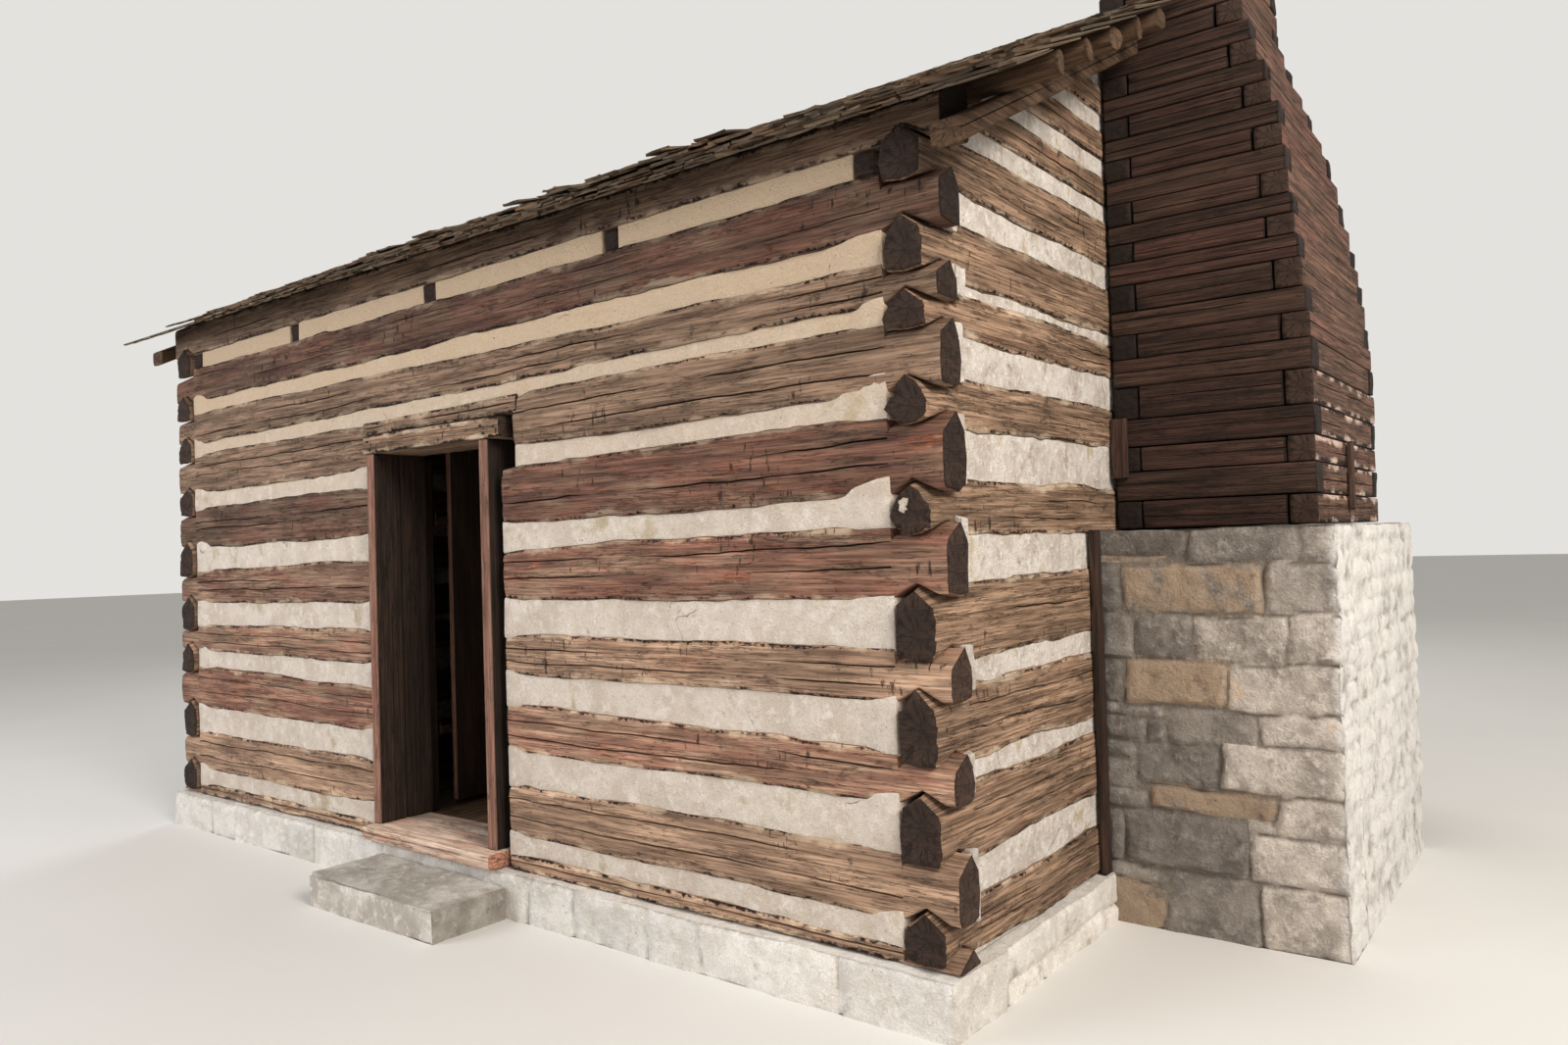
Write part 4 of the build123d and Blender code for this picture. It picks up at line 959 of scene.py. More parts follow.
left_peak, left_peak_clay = peak_skins(left_x, -1, left_gable, 300, 0.070)
right_peak, right_peak_clay = peak_skins(right_x, 1, right_gable, 340, 0.045)
piece("hewn_peak_left", left_peak, gable_log_finish, ["left_peak_logs"])
piece("hewn_peak_right", right_peak, gable_log_finish, ["right_peak_logs"])


# Clay between the logs

def daub_strip(axis, start, stop, across, lower, upper, seed, outer, step, forward=None):
    """Trowelled clay between two logs. It reaches a little behind the arrises of both."""
    return timber(axis, start + 0.002, stop - 0.002, (across[0] + 0.006, across[1] - 0.006), lower, upper,
                  seed, outer=outer, power=16.0, step=step, relief=0.0055, facets=7.0, end_play=0.001,
                  end_rings=2, forward=forward)


# Width of a joist's opening in the clay, and the middle of each joist
JOIST_LOW, JOIST_HIGH = corner("ceiling_joists")
JOIST = 0.120
JOIST_PLACES = [LEFT_INNER + JOIST / 2, LEFT_FACE + 1.340, LEFT_FACE + 2.565, LEFT_FACE + 3.790,
                RIGHT_INNER - JOIST / 2]

# How far the clay runs up over the lower edge of each front log beside a corner, from the first log up
RIGHT_FLARES = [0.015, 0.022, 0.010, 0.036, 0.048, 0.058, 0.016, 0.040]
LEFT_FLARES = [0.022, 0.012, 0.028, 0.016, 0.040, 0.022, 0.020, 0.040]


def flared(course, high):
    """The upper edge of a front clay course where it runs up beside the corners, and how far it comes
    forward there, both as functions of x."""
    right, left = RIGHT_FLARES[course], LEFT_FLARES[course]

    def share(x, rise, inner):
        return eased(np.clip(1 - np.abs(x - inner) / (0.10 + 3.2 * rise), 0, 1))

    def upper(x):
        return high(x) + right * share(x, right, RIGHT_INNER) + left * share(x, left, LEFT_INNER)

    def forward(x):
        return 0.010 * np.clip(2.5 * (share(x, right, RIGHT_INNER) + share(x, left, LEFT_INNER)), 0, 1)

    return upper, forward


# How far the clay of a long wall laps behind the logs over and under it
LAP = 0.020


def long_wall_clay(y, outer, seed, step, doorway):
    """All the clay of a long wall: between each two logs, and under the plate between the joists."""
    skins = []
    head_low, head_high = corner("door_head")
    for i in range(8):
        low = between(LEFT_LOGS[i][1] - LAP, RIGHT_LOGS[i][1] - LAP)
        high = between(LEFT_LOGS[i + 1][0] + LAP, RIGHT_LOGS[i + 1][0] + LAP)
        lengths = [(LEFT_INNER, RIGHT_INNER)]
        if doorway and i < 5:
            lengths = [(LEFT_INNER, LEFT_ENDS), (RIGHT_ENDS, RIGHT_INNER)]
        if doorway and i == 5:
            lengths = [(LEFT_INNER, head_low[0] - 0.004), (head_high[0] + HEAD_GAP, RIGHT_INNER)]
        upper, forward = flared(i, high) if doorway else (high, None)
        for k, (x0, x1) in enumerate(lengths):
            skins.append(daub_strip(0, x0, x1, y, low, upper, seed + 10 * i + k, outer, step, forward))
    low = between(LEFT_LOGS[8][1] - LAP, RIGHT_LOGS[8][1] - LAP)
    high = between(LEFT_PLATE + LAP, RIGHT_PLATE + LAP)
    for k, (a, b) in enumerate(zip(JOIST_PLACES, JOIST_PLACES[1:])):
        skins.append(daub_strip(0, a + JOIST / 2 - 0.016, b - JOIST / 2 + 0.008, y, low, high, seed + 90 + k,
                                outer, step))
    return skins


def corner_fillets():
    """Clay in the inner corner between the gable's clay courses and the ends of the front logs."""
    skins = []
    for i, log in enumerate(RIGHT_LOGS[1:]):
        rng = np.random.default_rng(770 + i)
        z0, z1 = log[0] + V_RISE - rng.uniform(0, 0.05), log[1] - V_RISE + rng.uniform(0, 0.06)
        out = RIGHT_FACE + rng.uniform(0.015, 0.035)
        y0, y1 = FRONT_INNER - rng.uniform(0.06, 0.085), FRONT_INNER + rng.uniform(-0.02, 0.04)
        skins.append(timber(2, z0, z1, (RIGHT_FACE - 0.03, out), y0, y1, 780 + i, outer=1, power=2.6,
                            step=0.018, relief=0.006, wave=0.018, ragged=0.006, end_play=0.012, worn=0.3,
                            blunt=0.3, tone=rng.uniform(0.35, 0.5)))
    return skins


def end_lump():
    """A lump of clay on the end of the gable log at breast height."""
    x, z = GABLE_MID_RIGHT - 0.013, sum(right_gable[4]) / 2 + 0.011
    return timber(1, GABLE_FRONT - 0.010, GABLE_FRONT + 0.02, (x - 0.025, x + 0.025), z - 0.027, z + 0.027,
                  470, power=2.4, step=0.006, relief=0.004, end_play=0.01, worn=0.5, tone=0.3)


GABLE_LAP = 0.018


def gable_clay(x, outer, gable, seed, step, lengths_at):
    """All the clay of a gable wall below its peak. It starts on the foundation."""
    skins = []
    tops = [FOUND_TOP] + [h[1] - GABLE_LAP for h in gable[:-1]]
    for i, (low, h) in enumerate(zip(tops, gable)):
        for k, (y0, y1) in enumerate(lengths_at(i)):
            skins.append(daub_strip(1, y0, y1, x, low, h[0] + GABLE_LAP, seed + 10 * i + k, outer, step))
    return skins


def right_lengths(course):
    """Where the right gable's clay runs: in two lengths beside the fireplace, and whole above it."""
    start = FRONT_INNER - 0.07
    return [(start, fire[0]), (fire[1], REAR_INNER)] if course <= FIRE_COURSES else [(start, REAR_INNER)]


piece("clay_front", long_wall_clay(front, -1, 400, 0.044, True) + [end_lump()], daub, ["front_clay"])
piece("clay_rear", long_wall_clay(rear, 1, 500, 0.090, False), daub, ["rear_clay"])
piece("clay_left_gable",
      gable_clay(left_x, -1, left_gable, 600, 0.090, lambda i: [(FRONT_INNER, REAR_INNER)]) + left_peak_clay,
      rough_daub, ["left_gable_clay"])
piece("clay_right_gable",
      gable_clay(right_x, 1, right_gable, 700, 0.044, right_lengths) + right_peak_clay + corner_fillets(),
      rough_daub, ["right_gable_clay"])

joists = []
for k, x in enumerate(JOIST_PLACES):
    low = between(LEFT_LOGS[8][1], RIGHT_LOGS[8][1])(x) + 0.008
    high = between(LEFT_PLATE, RIGHT_PLATE)(x) - 0.004
    front_end = JOIST_LOW[1] + 0.006 + 0.01 * (k % 2)
    joists.append(timber(1, front_end, JOIST_HIGH[1] - 0.006, (x - 0.044, x + 0.040), low, high, 800 + k,
                         tone=0.3, power=8.0, step=0.40, end_play=0.008))
piece("hewn_joists", joists, front_log, ["ceiling_joists"])


# Foundation, step, door frame and floor

THICK = FOUND_HIGH[1] - FOUND_LOW[1]
F_LEFT, F_RIGHT, F_FRONT, F_REAR = FOUND_LOW[0], FOUND_HIGH[0], FOUND_LOW[1], REAR_FOUND
# Stones of the foundation, and further on the smaller ones of the chimney's side away from the wall
LARGE = dict(heights=(0.09, 0.16), lengths=(0.25, 0.65), rusty=0.0, tones=(0.42, 0.60))
for name, axis, start, stop, across, seed, sides in (
        ("front", 0, F_LEFT, F_RIGHT, (F_FRONT, F_FRONT + THICK), 900, ((1, 0), (0, 1), (0, 0))),
        ("rear", 0, F_LEFT, F_RIGHT, (F_REAR - THICK, F_REAR), 920, ((1, 1), (0, 1), (0, 0))),
        ("left", 1, F_FRONT + THICK, F_REAR - THICK, (F_LEFT, F_LEFT + THICK), 940, ((0, 0),))):
    low, high = [0, 0, 0], [0, 0, FOUND_TOP - 0.002]
    low[axis], high[axis] = start, stop
    low[1 - axis], high[1 - axis] = across
    laid = {(k, end): coursed(low[1 - k], high[1 - k], 0, FOUND_TOP, seed + k + end, **LARGE)
            for k, end in sides}
    piece("laid_stones_" + name, [masonry(low, high, laid, seed, cell=0.018 if name == "front" else 0.032)],
          washed_stone, ["foundation_" + name], merge=True)
stones = []
for k, (y0, y1) in enumerate(((F_FRONT + THICK, fire[0]), (fire[1], F_REAR - THICK))):
    laid = {(0, 1): coursed(y0, y1, 0, FOUND_TOP, 960 + k, **LARGE)}
    stones.append(masonry((F_RIGHT - THICK, y0, 0), (F_RIGHT, y1, FOUND_TOP - 0.002), laid, 970 + k,
                          cell=0.018))
piece("laid_stones_right", stones, washed_stone, ["foundation_right"], merge=True)

step_low, step_high = corner("step_stone")
# One stone on each side of the step. It reaches on into the foundation and the ground.
(x0, y0, _), (x1, y1, top) = step_low, step_high + (0, UNDERGROUND, 0)
whole = {(1, 0): (x0, x1, -UNDERGROUND, top, 0.62, 0), (0, 1): (y0, y1, -UNDERGROUND, top, 0.15, 0),
         (0, 0): (y0, y1, -UNDERGROUND, top, 0.3, 0), (2, 1): (x0, x1, y0, y1, 0.42, 0)}
piece("step_slab", [masonry(step_low, step_high, {side: np.array([row]) for side, row in whole.items()}, 1001,
                            cell=0.016, joint=-0.002, sink=0.012)],
      slab_stone, ["step_stone"], merge=True)


def board(low, high, axis, seed, **more):
    """A sawn board that fills a box, its length along the axis."""
    across_axis, height_axis = {0: (1, 2), 1: (0, 2), 2: (0, 1)}[axis]
    settings = dict(step=0.05, power=22.0, relief=0.0012, wave=0.0012, end_play=0.002, crack_levels=(0.15,),
                    crack_depth=0.006, crack_half=0.0015)
    settings.update(more)
    return timber(axis, low[axis] + 0.004, high[axis] - 0.004, (low[across_axis], high[across_axis]),
                  low[height_axis], high[height_axis], seed, **settings)


# How deep the lighter front edges of the door frame and the leaf reach, painted light on their edges
EDGE = 0.008
# The threshold board's tone of 0.9 lightens it further: painted light where the doorway shades it
piece("threshold_board",
      [board(*corner("threshold"), 0, 1011, relief=0.003, wave=0.003, power=12.0, tone=0.9)],
      worn_wood, ["threshold"])
left_low, left_high = corner("door_jamb_left")
right_low, right_high = corner("door_jamb_right")
post_low, post_high = corner("door_post")
seam = (left_low[1] + left_high[1]) / 2
# The jamb boards, hinge posts and leaf take the dark door finish, darkened as painted shade inside the
# doorway
piece("jamb_boards_left",
      [board(left_low + (0, EDGE, 0), (left_high[0], seam - 0.002, left_high[2]), 2, 1021, outer=1,
             tone=0.35),
       board((left_low[0], seam + 0.002, left_low[2]), left_high, 2, 1022, outer=1, tone=0.3)],
      shaded_door_wood, ["door_jamb_left"])
# The right jamb's boards get tone 0, the darkest: painted shade for the gap between the jamb and the log ends
piece("jamb_boards_right", [board(right_low + (0, EDGE, 0), right_high, 2, 1023, tone=0.0)], shaded_door_wood,
      ["door_jamb_right"])
# The frame's front edges take the lighter edge finish, painted light
piece("jamb_front_edges",
      [board(low, (high[0], low[1] + EDGE, high[2]), 2, seed, tone=tone, crack_levels=())
       for low, high, seed, tone in ((left_low, left_high, 1026, 0.6), (right_low, right_high, 1027, 0.5))],
      lit_edge_wood, [])
piece("hinge_posts", [board(post_low, (LEFT_ENDS, *post_high[1:]), 2, 1025, tone=0.3),
                      board((right_low[0], right_high[1], post_low[2]), post_high, 2, 1028, tone=0.3)],
      shaded_door_wood, ["door_post"])
head_low, head_high = corner("door_head")
piece("head_board", [board(head_low, head_high, 0, 1024, tone=0.65)], gable_log_finish, ["door_head"])
# Nail heads in the head board, at x and z
NAILS = ((-0.82, 2.15), (-0.80, 2.11), (0.08, 2.15), (0.10, 2.115), (0.17, 2.14))
NAIL_HALF = 0.006
nails = []
for k, (x, z) in enumerate(NAILS):
    nails.append(timber(1, head_low[1] - 0.004, head_low[1] + 0.02, (x - NAIL_HALF, x + NAIL_HALF),
                        z - NAIL_HALF, z + NAIL_HALF, 1030 + k, power=2.2, step=0.01, relief=0.0,
                        end_play=0.001, fine=3))
piece("head_nails", nails, iron, [])

# Floor planks: nine left of the doorway, five that reach into it behind the threshold, and nine right of it
low, high = corner("floor")
sill_low, sill_high = corner("threshold")
stretches = ((low[0], sill_low[0], 9), (sill_low[0], sill_high[0], 5), (sill_high[0], high[0], 9))
edges = [low[0]] + [x for a, b, count in stretches for x in a + (b - a) * np.arange(1, count + 1) / count]
planks = []
for k, (a, b) in enumerate(zip(edges, edges[1:])):
    inside = sill_low[0] - 0.01 < a and b < sill_high[0] + 0.01
    y0 = sill_high[1] + 0.003 if inside else low[1]
    planks.append(board((a + 0.002, y0, low[2]), (b - 0.002, *high[1:]), 1, 1100 + k, step=0.50,
                        tone=0.3 + 0.4 * ((k * 7) % 5) / 4, power=14.0, crack_levels=()))
piece("puncheon_floor", planks, floor_wood, ["floor"])

# Door leaf: three planks, whose edge on the hinge side gets the same painted light as the front edges of the
# frame, and three ledges across them
low, high = corner("door_planks")
tones, gap = (0.45, 0.3, 0.4), 0.003
width = (high[1] - low[1] - (len(tones) - 1) * gap) / len(tones)
planks = []
for k, tone in enumerate(tones):
    y0 = low[1] + k * (width + gap)
    planks.append(board((low[0], y0 + (0 if k else EDGE), low[2]), (high[0], y0 + width, high[2]), 2,
                        1200 + k, outer=1, tone=tone, power=18.0, step=0.04, relief=0.0015))
piece("leaf_planks", planks, shaded_door_wood, ["door_planks"], body="door")
# The leaf's hinge edge takes the lighter edge finish at full tone, a painted highlight
piece("leaf_hinge_edge", [board(low, (high[0], low[1] + EDGE, high[2]), 2, 1204, tone=1.0, crack_levels=())],
      lit_edge_wood, [], body="door")
low, high = corner("door_ledges")
LEDGE = 0.110
levels = (low[2], (low[2] + high[2] - LEDGE) / 2, high[2] - LEDGE)
piece("leaf_ledges", [board((*low[:2], z), (*high[:2], z + LEDGE), 1, 1210 + k, tone=0.4)
                      for k, z in enumerate(levels)], shaded_door_wood, ["door_ledges"], body="door")

# Roof frame
# Each side's right-hand overhang stops beside the stack, this far from the ridge line
NOTCH = {-1: MID_Y - corner("roof_rake_front")[1][1], 1: corner("roof_rake_rear")[0][1] - MID_Y}


def pole(x0, x1, y, z, radius, seed):
    """A peeled pole along X, with a slight bow and a radius that wanders by 2 mm."""
    rng = np.random.default_rng(seed)
    sway = 0.004 * rng.uniform(-1, 1)

    def middle(x):
        return z + sway * np.sin(x * 1.3 + seed)

    def lower(x):
        return middle(x) - radius + 0.002 * hills(x * 3, 0.5, seed)

    def upper(x):
        return middle(x) + radius - 0.002 * (1 + hills(x * 3, 2.5, seed))

    return timber(0, x0 + 0.020, x1 - 0.020, (y - radius, y + radius), lower, upper, seed,
                  tone=rng.uniform(0.35, 0.65), power=2.2, step=0.25, relief=0.0015, end_play=0.010, fine=4,
                  end_rings=3)


poles_low, poles_high = corner("roof_poles")
poles = []
pole_last, pole_inner, pole_count = HALF_DEPTH - 2 * WALL_HALF - 0.060, RIDGE_POLE + POLE, 8
for i in range(pole_count):
    offset = pole_last - i * (pole_last - pole_inner) / (pole_count - 1)
    for side in (-1, 1):
        y = MID_Y + side * offset
        z = roof_under(y) - POLE / 2 / cos(PITCH)
        end = poles_high[0] if offset - POLE / 2 > NOTCH[side] else RIGHT_FACE
        poles.append(pole(poles_low[0], end, y, z, POLE / 2, 1300 + i * 2 + (side > 0)))
piece("peeled_poles", poles, pole_wood, ["roof_poles"])
low, high = corner("ridge_pole")
piece("peeled_ridge_pole", [pole(low[0], high[0], MID_Y, (low[2] + high[2]) / 2, RIDGE_POLE / 2, 1330)],
      pole_wood, ["ridge_pole"])


RAFTER = 0.080


def rake_rafter(x0, x1, side, inner, seed):
    """A sloping timber under the pole ends, from the eave up to inner from the ridge."""
    def under(y):
        return roof_under(y) - POLE_DROP

    def lower(y):
        return under(y) - RAFTER / cos(PITCH)

    y0, y1 = sorted((MID_Y + side * (HALF_DEPTH + 0.080), MID_Y + side * inner))
    return timber(1, y0 + 0.010, y1 - 0.010, (x0, x1), lower, under, seed, outer=1 if x0 > 0 else -1,
                  tone=0.45, power=5.0, step=0.05, wave=0.003, crack_levels=(0.1,))


low, high = corner("rake_rafters")
rafters = []
for side in (-1, 1):
    rafters.append(rake_rafter(low[0], low[0] + 0.120, side, RIDGE_POLE / 2 + 0.004, 1340 + side))
    rafters.append(rake_rafter(high[0] - 0.120, high[0], side, NOTCH[side], 1344 + side))
piece("hewn_rake_rafters", rafters, pole_wood, ["rake_rafters"])

# Roof of split shakes
COURSES = 9
RUN = MID_Y - ROOF_FRONT - 0.035 * sin(PITCH)
SLOPE_LENGTH = RUN / cos(PITCH)
EXPOSURE = SLOPE_LENGTH / COURSES
EAVE_Z = PLATE_TOP - (RUN - HALF_DEPTH) * tan(PITCH)


def shake_grid(x, s, width, length, low, thick, lean, cup, tone, side, seed):
    """Skin of many shakes at once. x, s, width, length, low, thick, lean, cup and tone hold one value a
    shake: where its lower end starts along the eave and up the slope, its size, the height of its underside
    there, its thickness, how much it leans sideways, and how much it cups. A shake is 5 rows up the slope
    of 8 points round its section, and tapers to a third of its thickness at its head."""
    rng = np.random.default_rng(seed)
    count = len(x)
    way = np.array([0, 0.08, 0.35, 0.7, 1.0])[None, :, None]
    cross = np.array([-1, -0.35, 0.35, 1, 1, 0.35, -0.35, -1])[None, None, :]
    top = np.array([1, 1, 1, 1, 0, 0, 0, 0])[None, None, :]
    x, s, width, length, low, thick, lean, cup = (
        np.asarray(values, float)[:, None, None] for values in (x, s, width, length, low, thick, lean, cup))

    up = s + length * way + rng.uniform(0, 0.022, (count, 1, 8)) * (way == 0)
    here = x + width / 2 * (1 + cross * (1 - 0.03 * way)) + lean * way
    here = here + rng.uniform(-0.002, 0.002, (count, 5, 8))
    under = low * (1 - way * length / 0.62)
    out = under + thick * (1 - 0.65 * way) * top + cup * (cross ** 2) * (1 - way)
    out = np.maximum(out + rng.uniform(-0.0012, 0.0012, (count, 5, 8)), 0.0)
    y = -RUN + up * cos(PITCH) - out * sin(PITCH)
    z = EAVE_Z + up * sin(PITCH) + out * cos(PITCH)
    points = np.stack(np.broadcast_arrays(here, MID_Y + side * y, z), -1)
    caps = np.array([[0, 1, 6, 7], [1, 2, 5, 6], [2, 3, 4, 5]])
    one = np.concatenate([grid_quads(5, 8, True), caps, caps[:, ::-1] + 32])
    number = np.arange(count)[:, None, None]
    quads = (one[None] + 40 * number).reshape(-1, 4)[:, ::side]
    uv = np.stack(np.broadcast_arrays(up + 3.7 * number, width * cross / 2 + top * 0.2 + 0.9 * number), -1)
    return open_skin(points.reshape(-1, 3), quads, uv.reshape(-1, 2), np.repeat(tone, len(one)),
                     np.repeat(rng.uniform(-0.2, 0.7, count), len(one)), np.zeros(40 * count))


def shake_course(s, low_at, x0, x1, seed, lengths, reach, sparse):
    """One course of shakes from x0 to x1, and their values. low_at gives the height of the undersides at x,
    and a shake that would lie below the slope is left out. reach is how far up the slope the roof goes, and
    sparse the share of the shakes that are missing."""
    rng = np.random.default_rng(seed)
    cuts = np.concatenate([[0], np.cumsum(rng.uniform(0.075, 0.165, 120))])
    cuts = cuts[cuts < x1 - x0 - 0.05]
    cuts = x0 + np.append(cuts, x1 - x0)
    x, width = cuts[:-1], np.diff(cuts) - rng.uniform(0.002, 0.008, len(cuts) - 1)
    count = len(x)
    start = np.maximum(s + rng.uniform(-0.016, 0.022, count), 0.004 + rng.uniform(0, 0.016, count))
    length = np.minimum(rng.uniform(*lengths, count), reach - start - rng.uniform(0, 0.004, count))
    lift = low_at(x + width / 2)
    keep = (length > 0.06) & (lift >= 0) & (rng.random(count) >= sparse)
    lift = lift + rng.uniform(0, 0.004, count) + (rng.random(count) < 0.10) * rng.uniform(0, 0.008, count)
    thick = rng.uniform(0.007, 0.012, count)
    lean = rng.normal(0, 0.004, count)
    cup = rng.uniform(-0.002, 0.004, count)
    tone = np.clip(rng.normal(0.45, 0.18, count), 0.05, 0.95)
    return [values[keep] for values in (x, start, width, length, lift, thick, lean, cup, tone)]


def eave_rise(x):
    """How far the front eave lies over a straight line: it sags at its left end and is piled up right of
    the door."""
    return np.interp(x, (-3.3, -2.6, -1.8, -1.0, -0.2, 0.7, 1.5, 2.1, 2.75),
                     (-0.03, -0.02, 0.0, 0.02, 0.04, 0.06, 0.065, 0.03, 0.02))


def shake_roof(side, x0, x1, seed, reach):
    """All the courses of one slope, with two short starter courses under the first, and on the front slope
    the loose shakes piled on its eave."""
    rise = eave_rise if side > 0 else (lambda x: 0 * x)
    rows = []
    for k, low in enumerate((0.0005, 0.011)):
        rows.append((0.004 + 0.006 * k, lambda x, low=low: np.minimum(low + 0 * x, low + rise(x) + 0.01),
                     50 + k, 60 + k, (0.28, 0.32), 0.0))
    for i in range(COURSES):
        rows.append((i * EXPOSURE, lambda x, i=i: 0.0225 + (i == 0) * np.clip(rise(x), -0.02, 0), i, 20 + i,
                     (0.56, 0.62), 0.0))
    for k in range(5):
        rows.append((0.004 + 0.006 * k,
                     lambda x, k=k: np.where(rise(x) > 0.012 * k + 0.006, 0.034 + 0.011 * k, -1), 80 + k,
                     90 + k, (0.14, 0.25), 0.12 + 0.12 * k))
    skins = []
    for s, low_at, course_seed, grid_seed, lengths, sparse in rows:
        values = shake_course(s, low_at, x0, x1, seed + course_seed, lengths, reach, sparse)
        if len(values[0]):
            skins.append(shake_grid(*values, side, seed + grid_seed))
    return skins


for name, side, x0, x1, seed, reach in (
        ("front", 1, RAKE_LEFT + 0.008, RIGHT_FACE, 1400, SLOPE_LENGTH + 0.09),
        ("rear", -1, RAKE_LEFT + 0.008, RIGHT_FACE, 1500, SLOPE_LENGTH),
        ("rake_front", 1, RIGHT_FACE, RAKE_RIGHT - 0.008, 1600, (RUN - NOTCH[-1]) / cos(PITCH)),
        ("rake_rear", -1, RIGHT_FACE, RAKE_RIGHT - 0.008, 1700, (RUN - NOTCH[1]) / cos(PITCH))):
    piece("shakes_" + name, shake_roof(side, x0, x1, seed, reach), shake_wood, ["roof_" + name],
          sharp=35)

# Chimney base. The stones of the near side are listed one by one: x from the wall, bottom and top, tone and
# rust. Those at the outer corner reach past it.
# Stones at the outer corner have tones of 1.15 to 1.32, far above the others: painted light on that corner
NEAR_STONES = [
    (0, 0.245, 0, 0.17, 0.45, 0.9), (0.245, 0.615, 0, 0.25, 0.45, 0), (0.615, 0.96, 0, 0.245, 1.32, 0.1),
    (0, 0.245, 0.17, 0.24, 0.62, 0.1), (0, 0.075, 0.24, 0.475, 0.4, 0),
    (0.075, 0.565, 0.25, 0.475, 0.29, 0), (0.565, 0.96, 0.245, 0.425, 1.32, 0),
    (0.565, 0.675, 0.425, 0.475, 1.15, 0), (0, 0.185, 0.475, 0.55, 0.42, 0),
    (0.185, 0.675, 0.475, 0.575, 0.5, 0.8), (0.675, 0.96, 0.425, 0.58, 1.32, 0.1),
    (0, 0.145, 0.55, 0.663, 0.45, 0), (0, 0.145, 0.663, 0.745, 0.36, 0),
    (0.145, 0.475, 0.575, 0.745, 0.35, 0), (0.475, 0.96, 0.58, 0.77, 1.32, 0.1),
    (0, 0.195, 0.745, 0.845, 0.38, 0), (0.195, 0.275, 0.745, 0.845, 0.4, 0),
    (0.275, 0.615, 0.745, 0.89, 0.48, 0), (0.615, 0.96, 0.77, 0.89, 1.32, 0.2),
    (0, 0.275, 0.845, 0.895, 0.58, 0.3), (0, 0.105, 0.895, 1.075, 0.26, 0),
    (0.105, 0.505, 0.895, 1.08, 0.58, 1), (0.505, 0.96, 0.89, 1.08, 1.32, 0.1),
    (0, 0.145, 1.075, 1.265, 0.45, 0), (0.145, 0.375, 1.08, 1.265, 0.47, 0),
    (0.375, 0.725, 1.08, 1.265, 1.15, 0.2), (0.725, 0.96, 1.08, 1.265, 1.32, 0.1),
    (0, 0.105, 1.265, 1.465, 0.2, 0), (0.105, 0.645, 1.265, 1.458, 0.55, 0.75),
    (0.645, 0.96, 1.265, 1.463, 0.8, 0.1), (0, 0.285, 1.463, 1.485, 0.8, 0.8),
    (0, 0.365, 1.485, 1.61, 0.18, 0), (0.365, 0.785, 1.46, 1.61, 0.5, 0),
    (0.785, 0.96, 1.463, 1.61, 0.8, 0),
]
near = np.array(NEAR_STONES) + (RIGHT_FACE, RIGHT_FACE, 0, 0, 0, 0)
near[near[:, 2] == 0, 2] = -UNDERGROUND
SMALL = dict(heights=(0.06, 0.13), lengths=(0.11, 0.30))
top = BASE_TOP - 0.001
outer_x = CHEEK_HIGH[0]


def plain_side(axis, low, high, seed, **more):
    """Random stones for the side of a box that faces along an axis."""
    along, up = [k for k in range(3) if k != axis]
    return coursed(low[along], high[along], low[up], high[up], seed, **more)


def chimney_piece(name, bodies, node):
    """One piece of the chimney base from its stone bodies."""
    piece(name, bodies, field_stone, [node], merge=True)


sides = []
for y0, y1, seeds, cell in ((CHEEK_LOW[1], fire[0], (2010, 2020, 2000), 0.013),
                            (fire[1], CHEEK_HIGH[1], (2050, 2040, 2030), 0.024)):
    low, high = (RIGHT_FACE, y0, 0), (outer_x, y1, top)
    facing = near if y0 < MID_Y else plain_side(1, low, high, 2060)
    sides.append(masonry((RIGHT_FACE + 0.002, y0, 0), high,
                         {(1, 0): facing, (0, 1): plain_side(0, low, high, seeds[0], **SMALL),
                          (1, 1): plain_side(1, low, high, seeds[1])}, seeds[2], cell=cell, washed=((0, 1),)))
chimney_piece("chimney_stones_sides", sides, "chimney_cheeks")
low, high = (BACK_LOW[0], fire[0], 0), (BACK_HIGH[0], fire[1], top)
chimney_piece("chimney_stones_back",
              [masonry(low, high, {(0, 1): plain_side(0, low, high, 2810, **SMALL),
                                   (0, 0): plain_side(0, low, high, 2820)}, 2800, cell=0.016,
                       washed=((0, 1),))], "chimney_back")
low, high = corner("chimney_breast")
chimney_piece("chimney_stones_breast",
              [masonry(low, high, {(0, 0): plain_side(0, low, high, 3100),
                                   (0, 1): plain_side(0, low, high, 3110)}, 3120, cell=0.025)],
              "chimney_breast")
low, high = corner("chimney_hearth")
FLAGS = dict(heights=(0.3, 0.45), lengths=(0.3, 0.5))
chimney_piece("hearth_stones",
              [masonry(low, high - (0, 0, 0.002), {(2, 1): plain_side(2, low, high, 3140, **FLAGS)}, 3150,
                       cell=0.03)], "chimney_hearth")

# Stack of laid timbers. Its near side and its wall side stand plumb, and the other two step in: the depth
# and the width at some heights, with straight lines between them.
STACK_X, STACK_Y, _ = corner("stack_cross_timbers")[0]
TIMBER = 0.110
COURSE_HEIGHTS = [0.120, 0.125, 0.105, 0.120, 0.140, 0.120, 0.104, 0.100, 0.116, 0.095, 0.085, 0.080, 0.095,
                  0.101] + [0.090] * 17
levels = BASE_TOP + np.concatenate([[0], np.cumsum(COURSE_HEIGHTS)])
STACK_DEPTHS = ((2.300, 3.200, 3.750), (0.805, 0.715, 0.570))
STACK_WIDTHS = ((2.800, 3.600), (1.320, 0.710))
SMEARED = 5


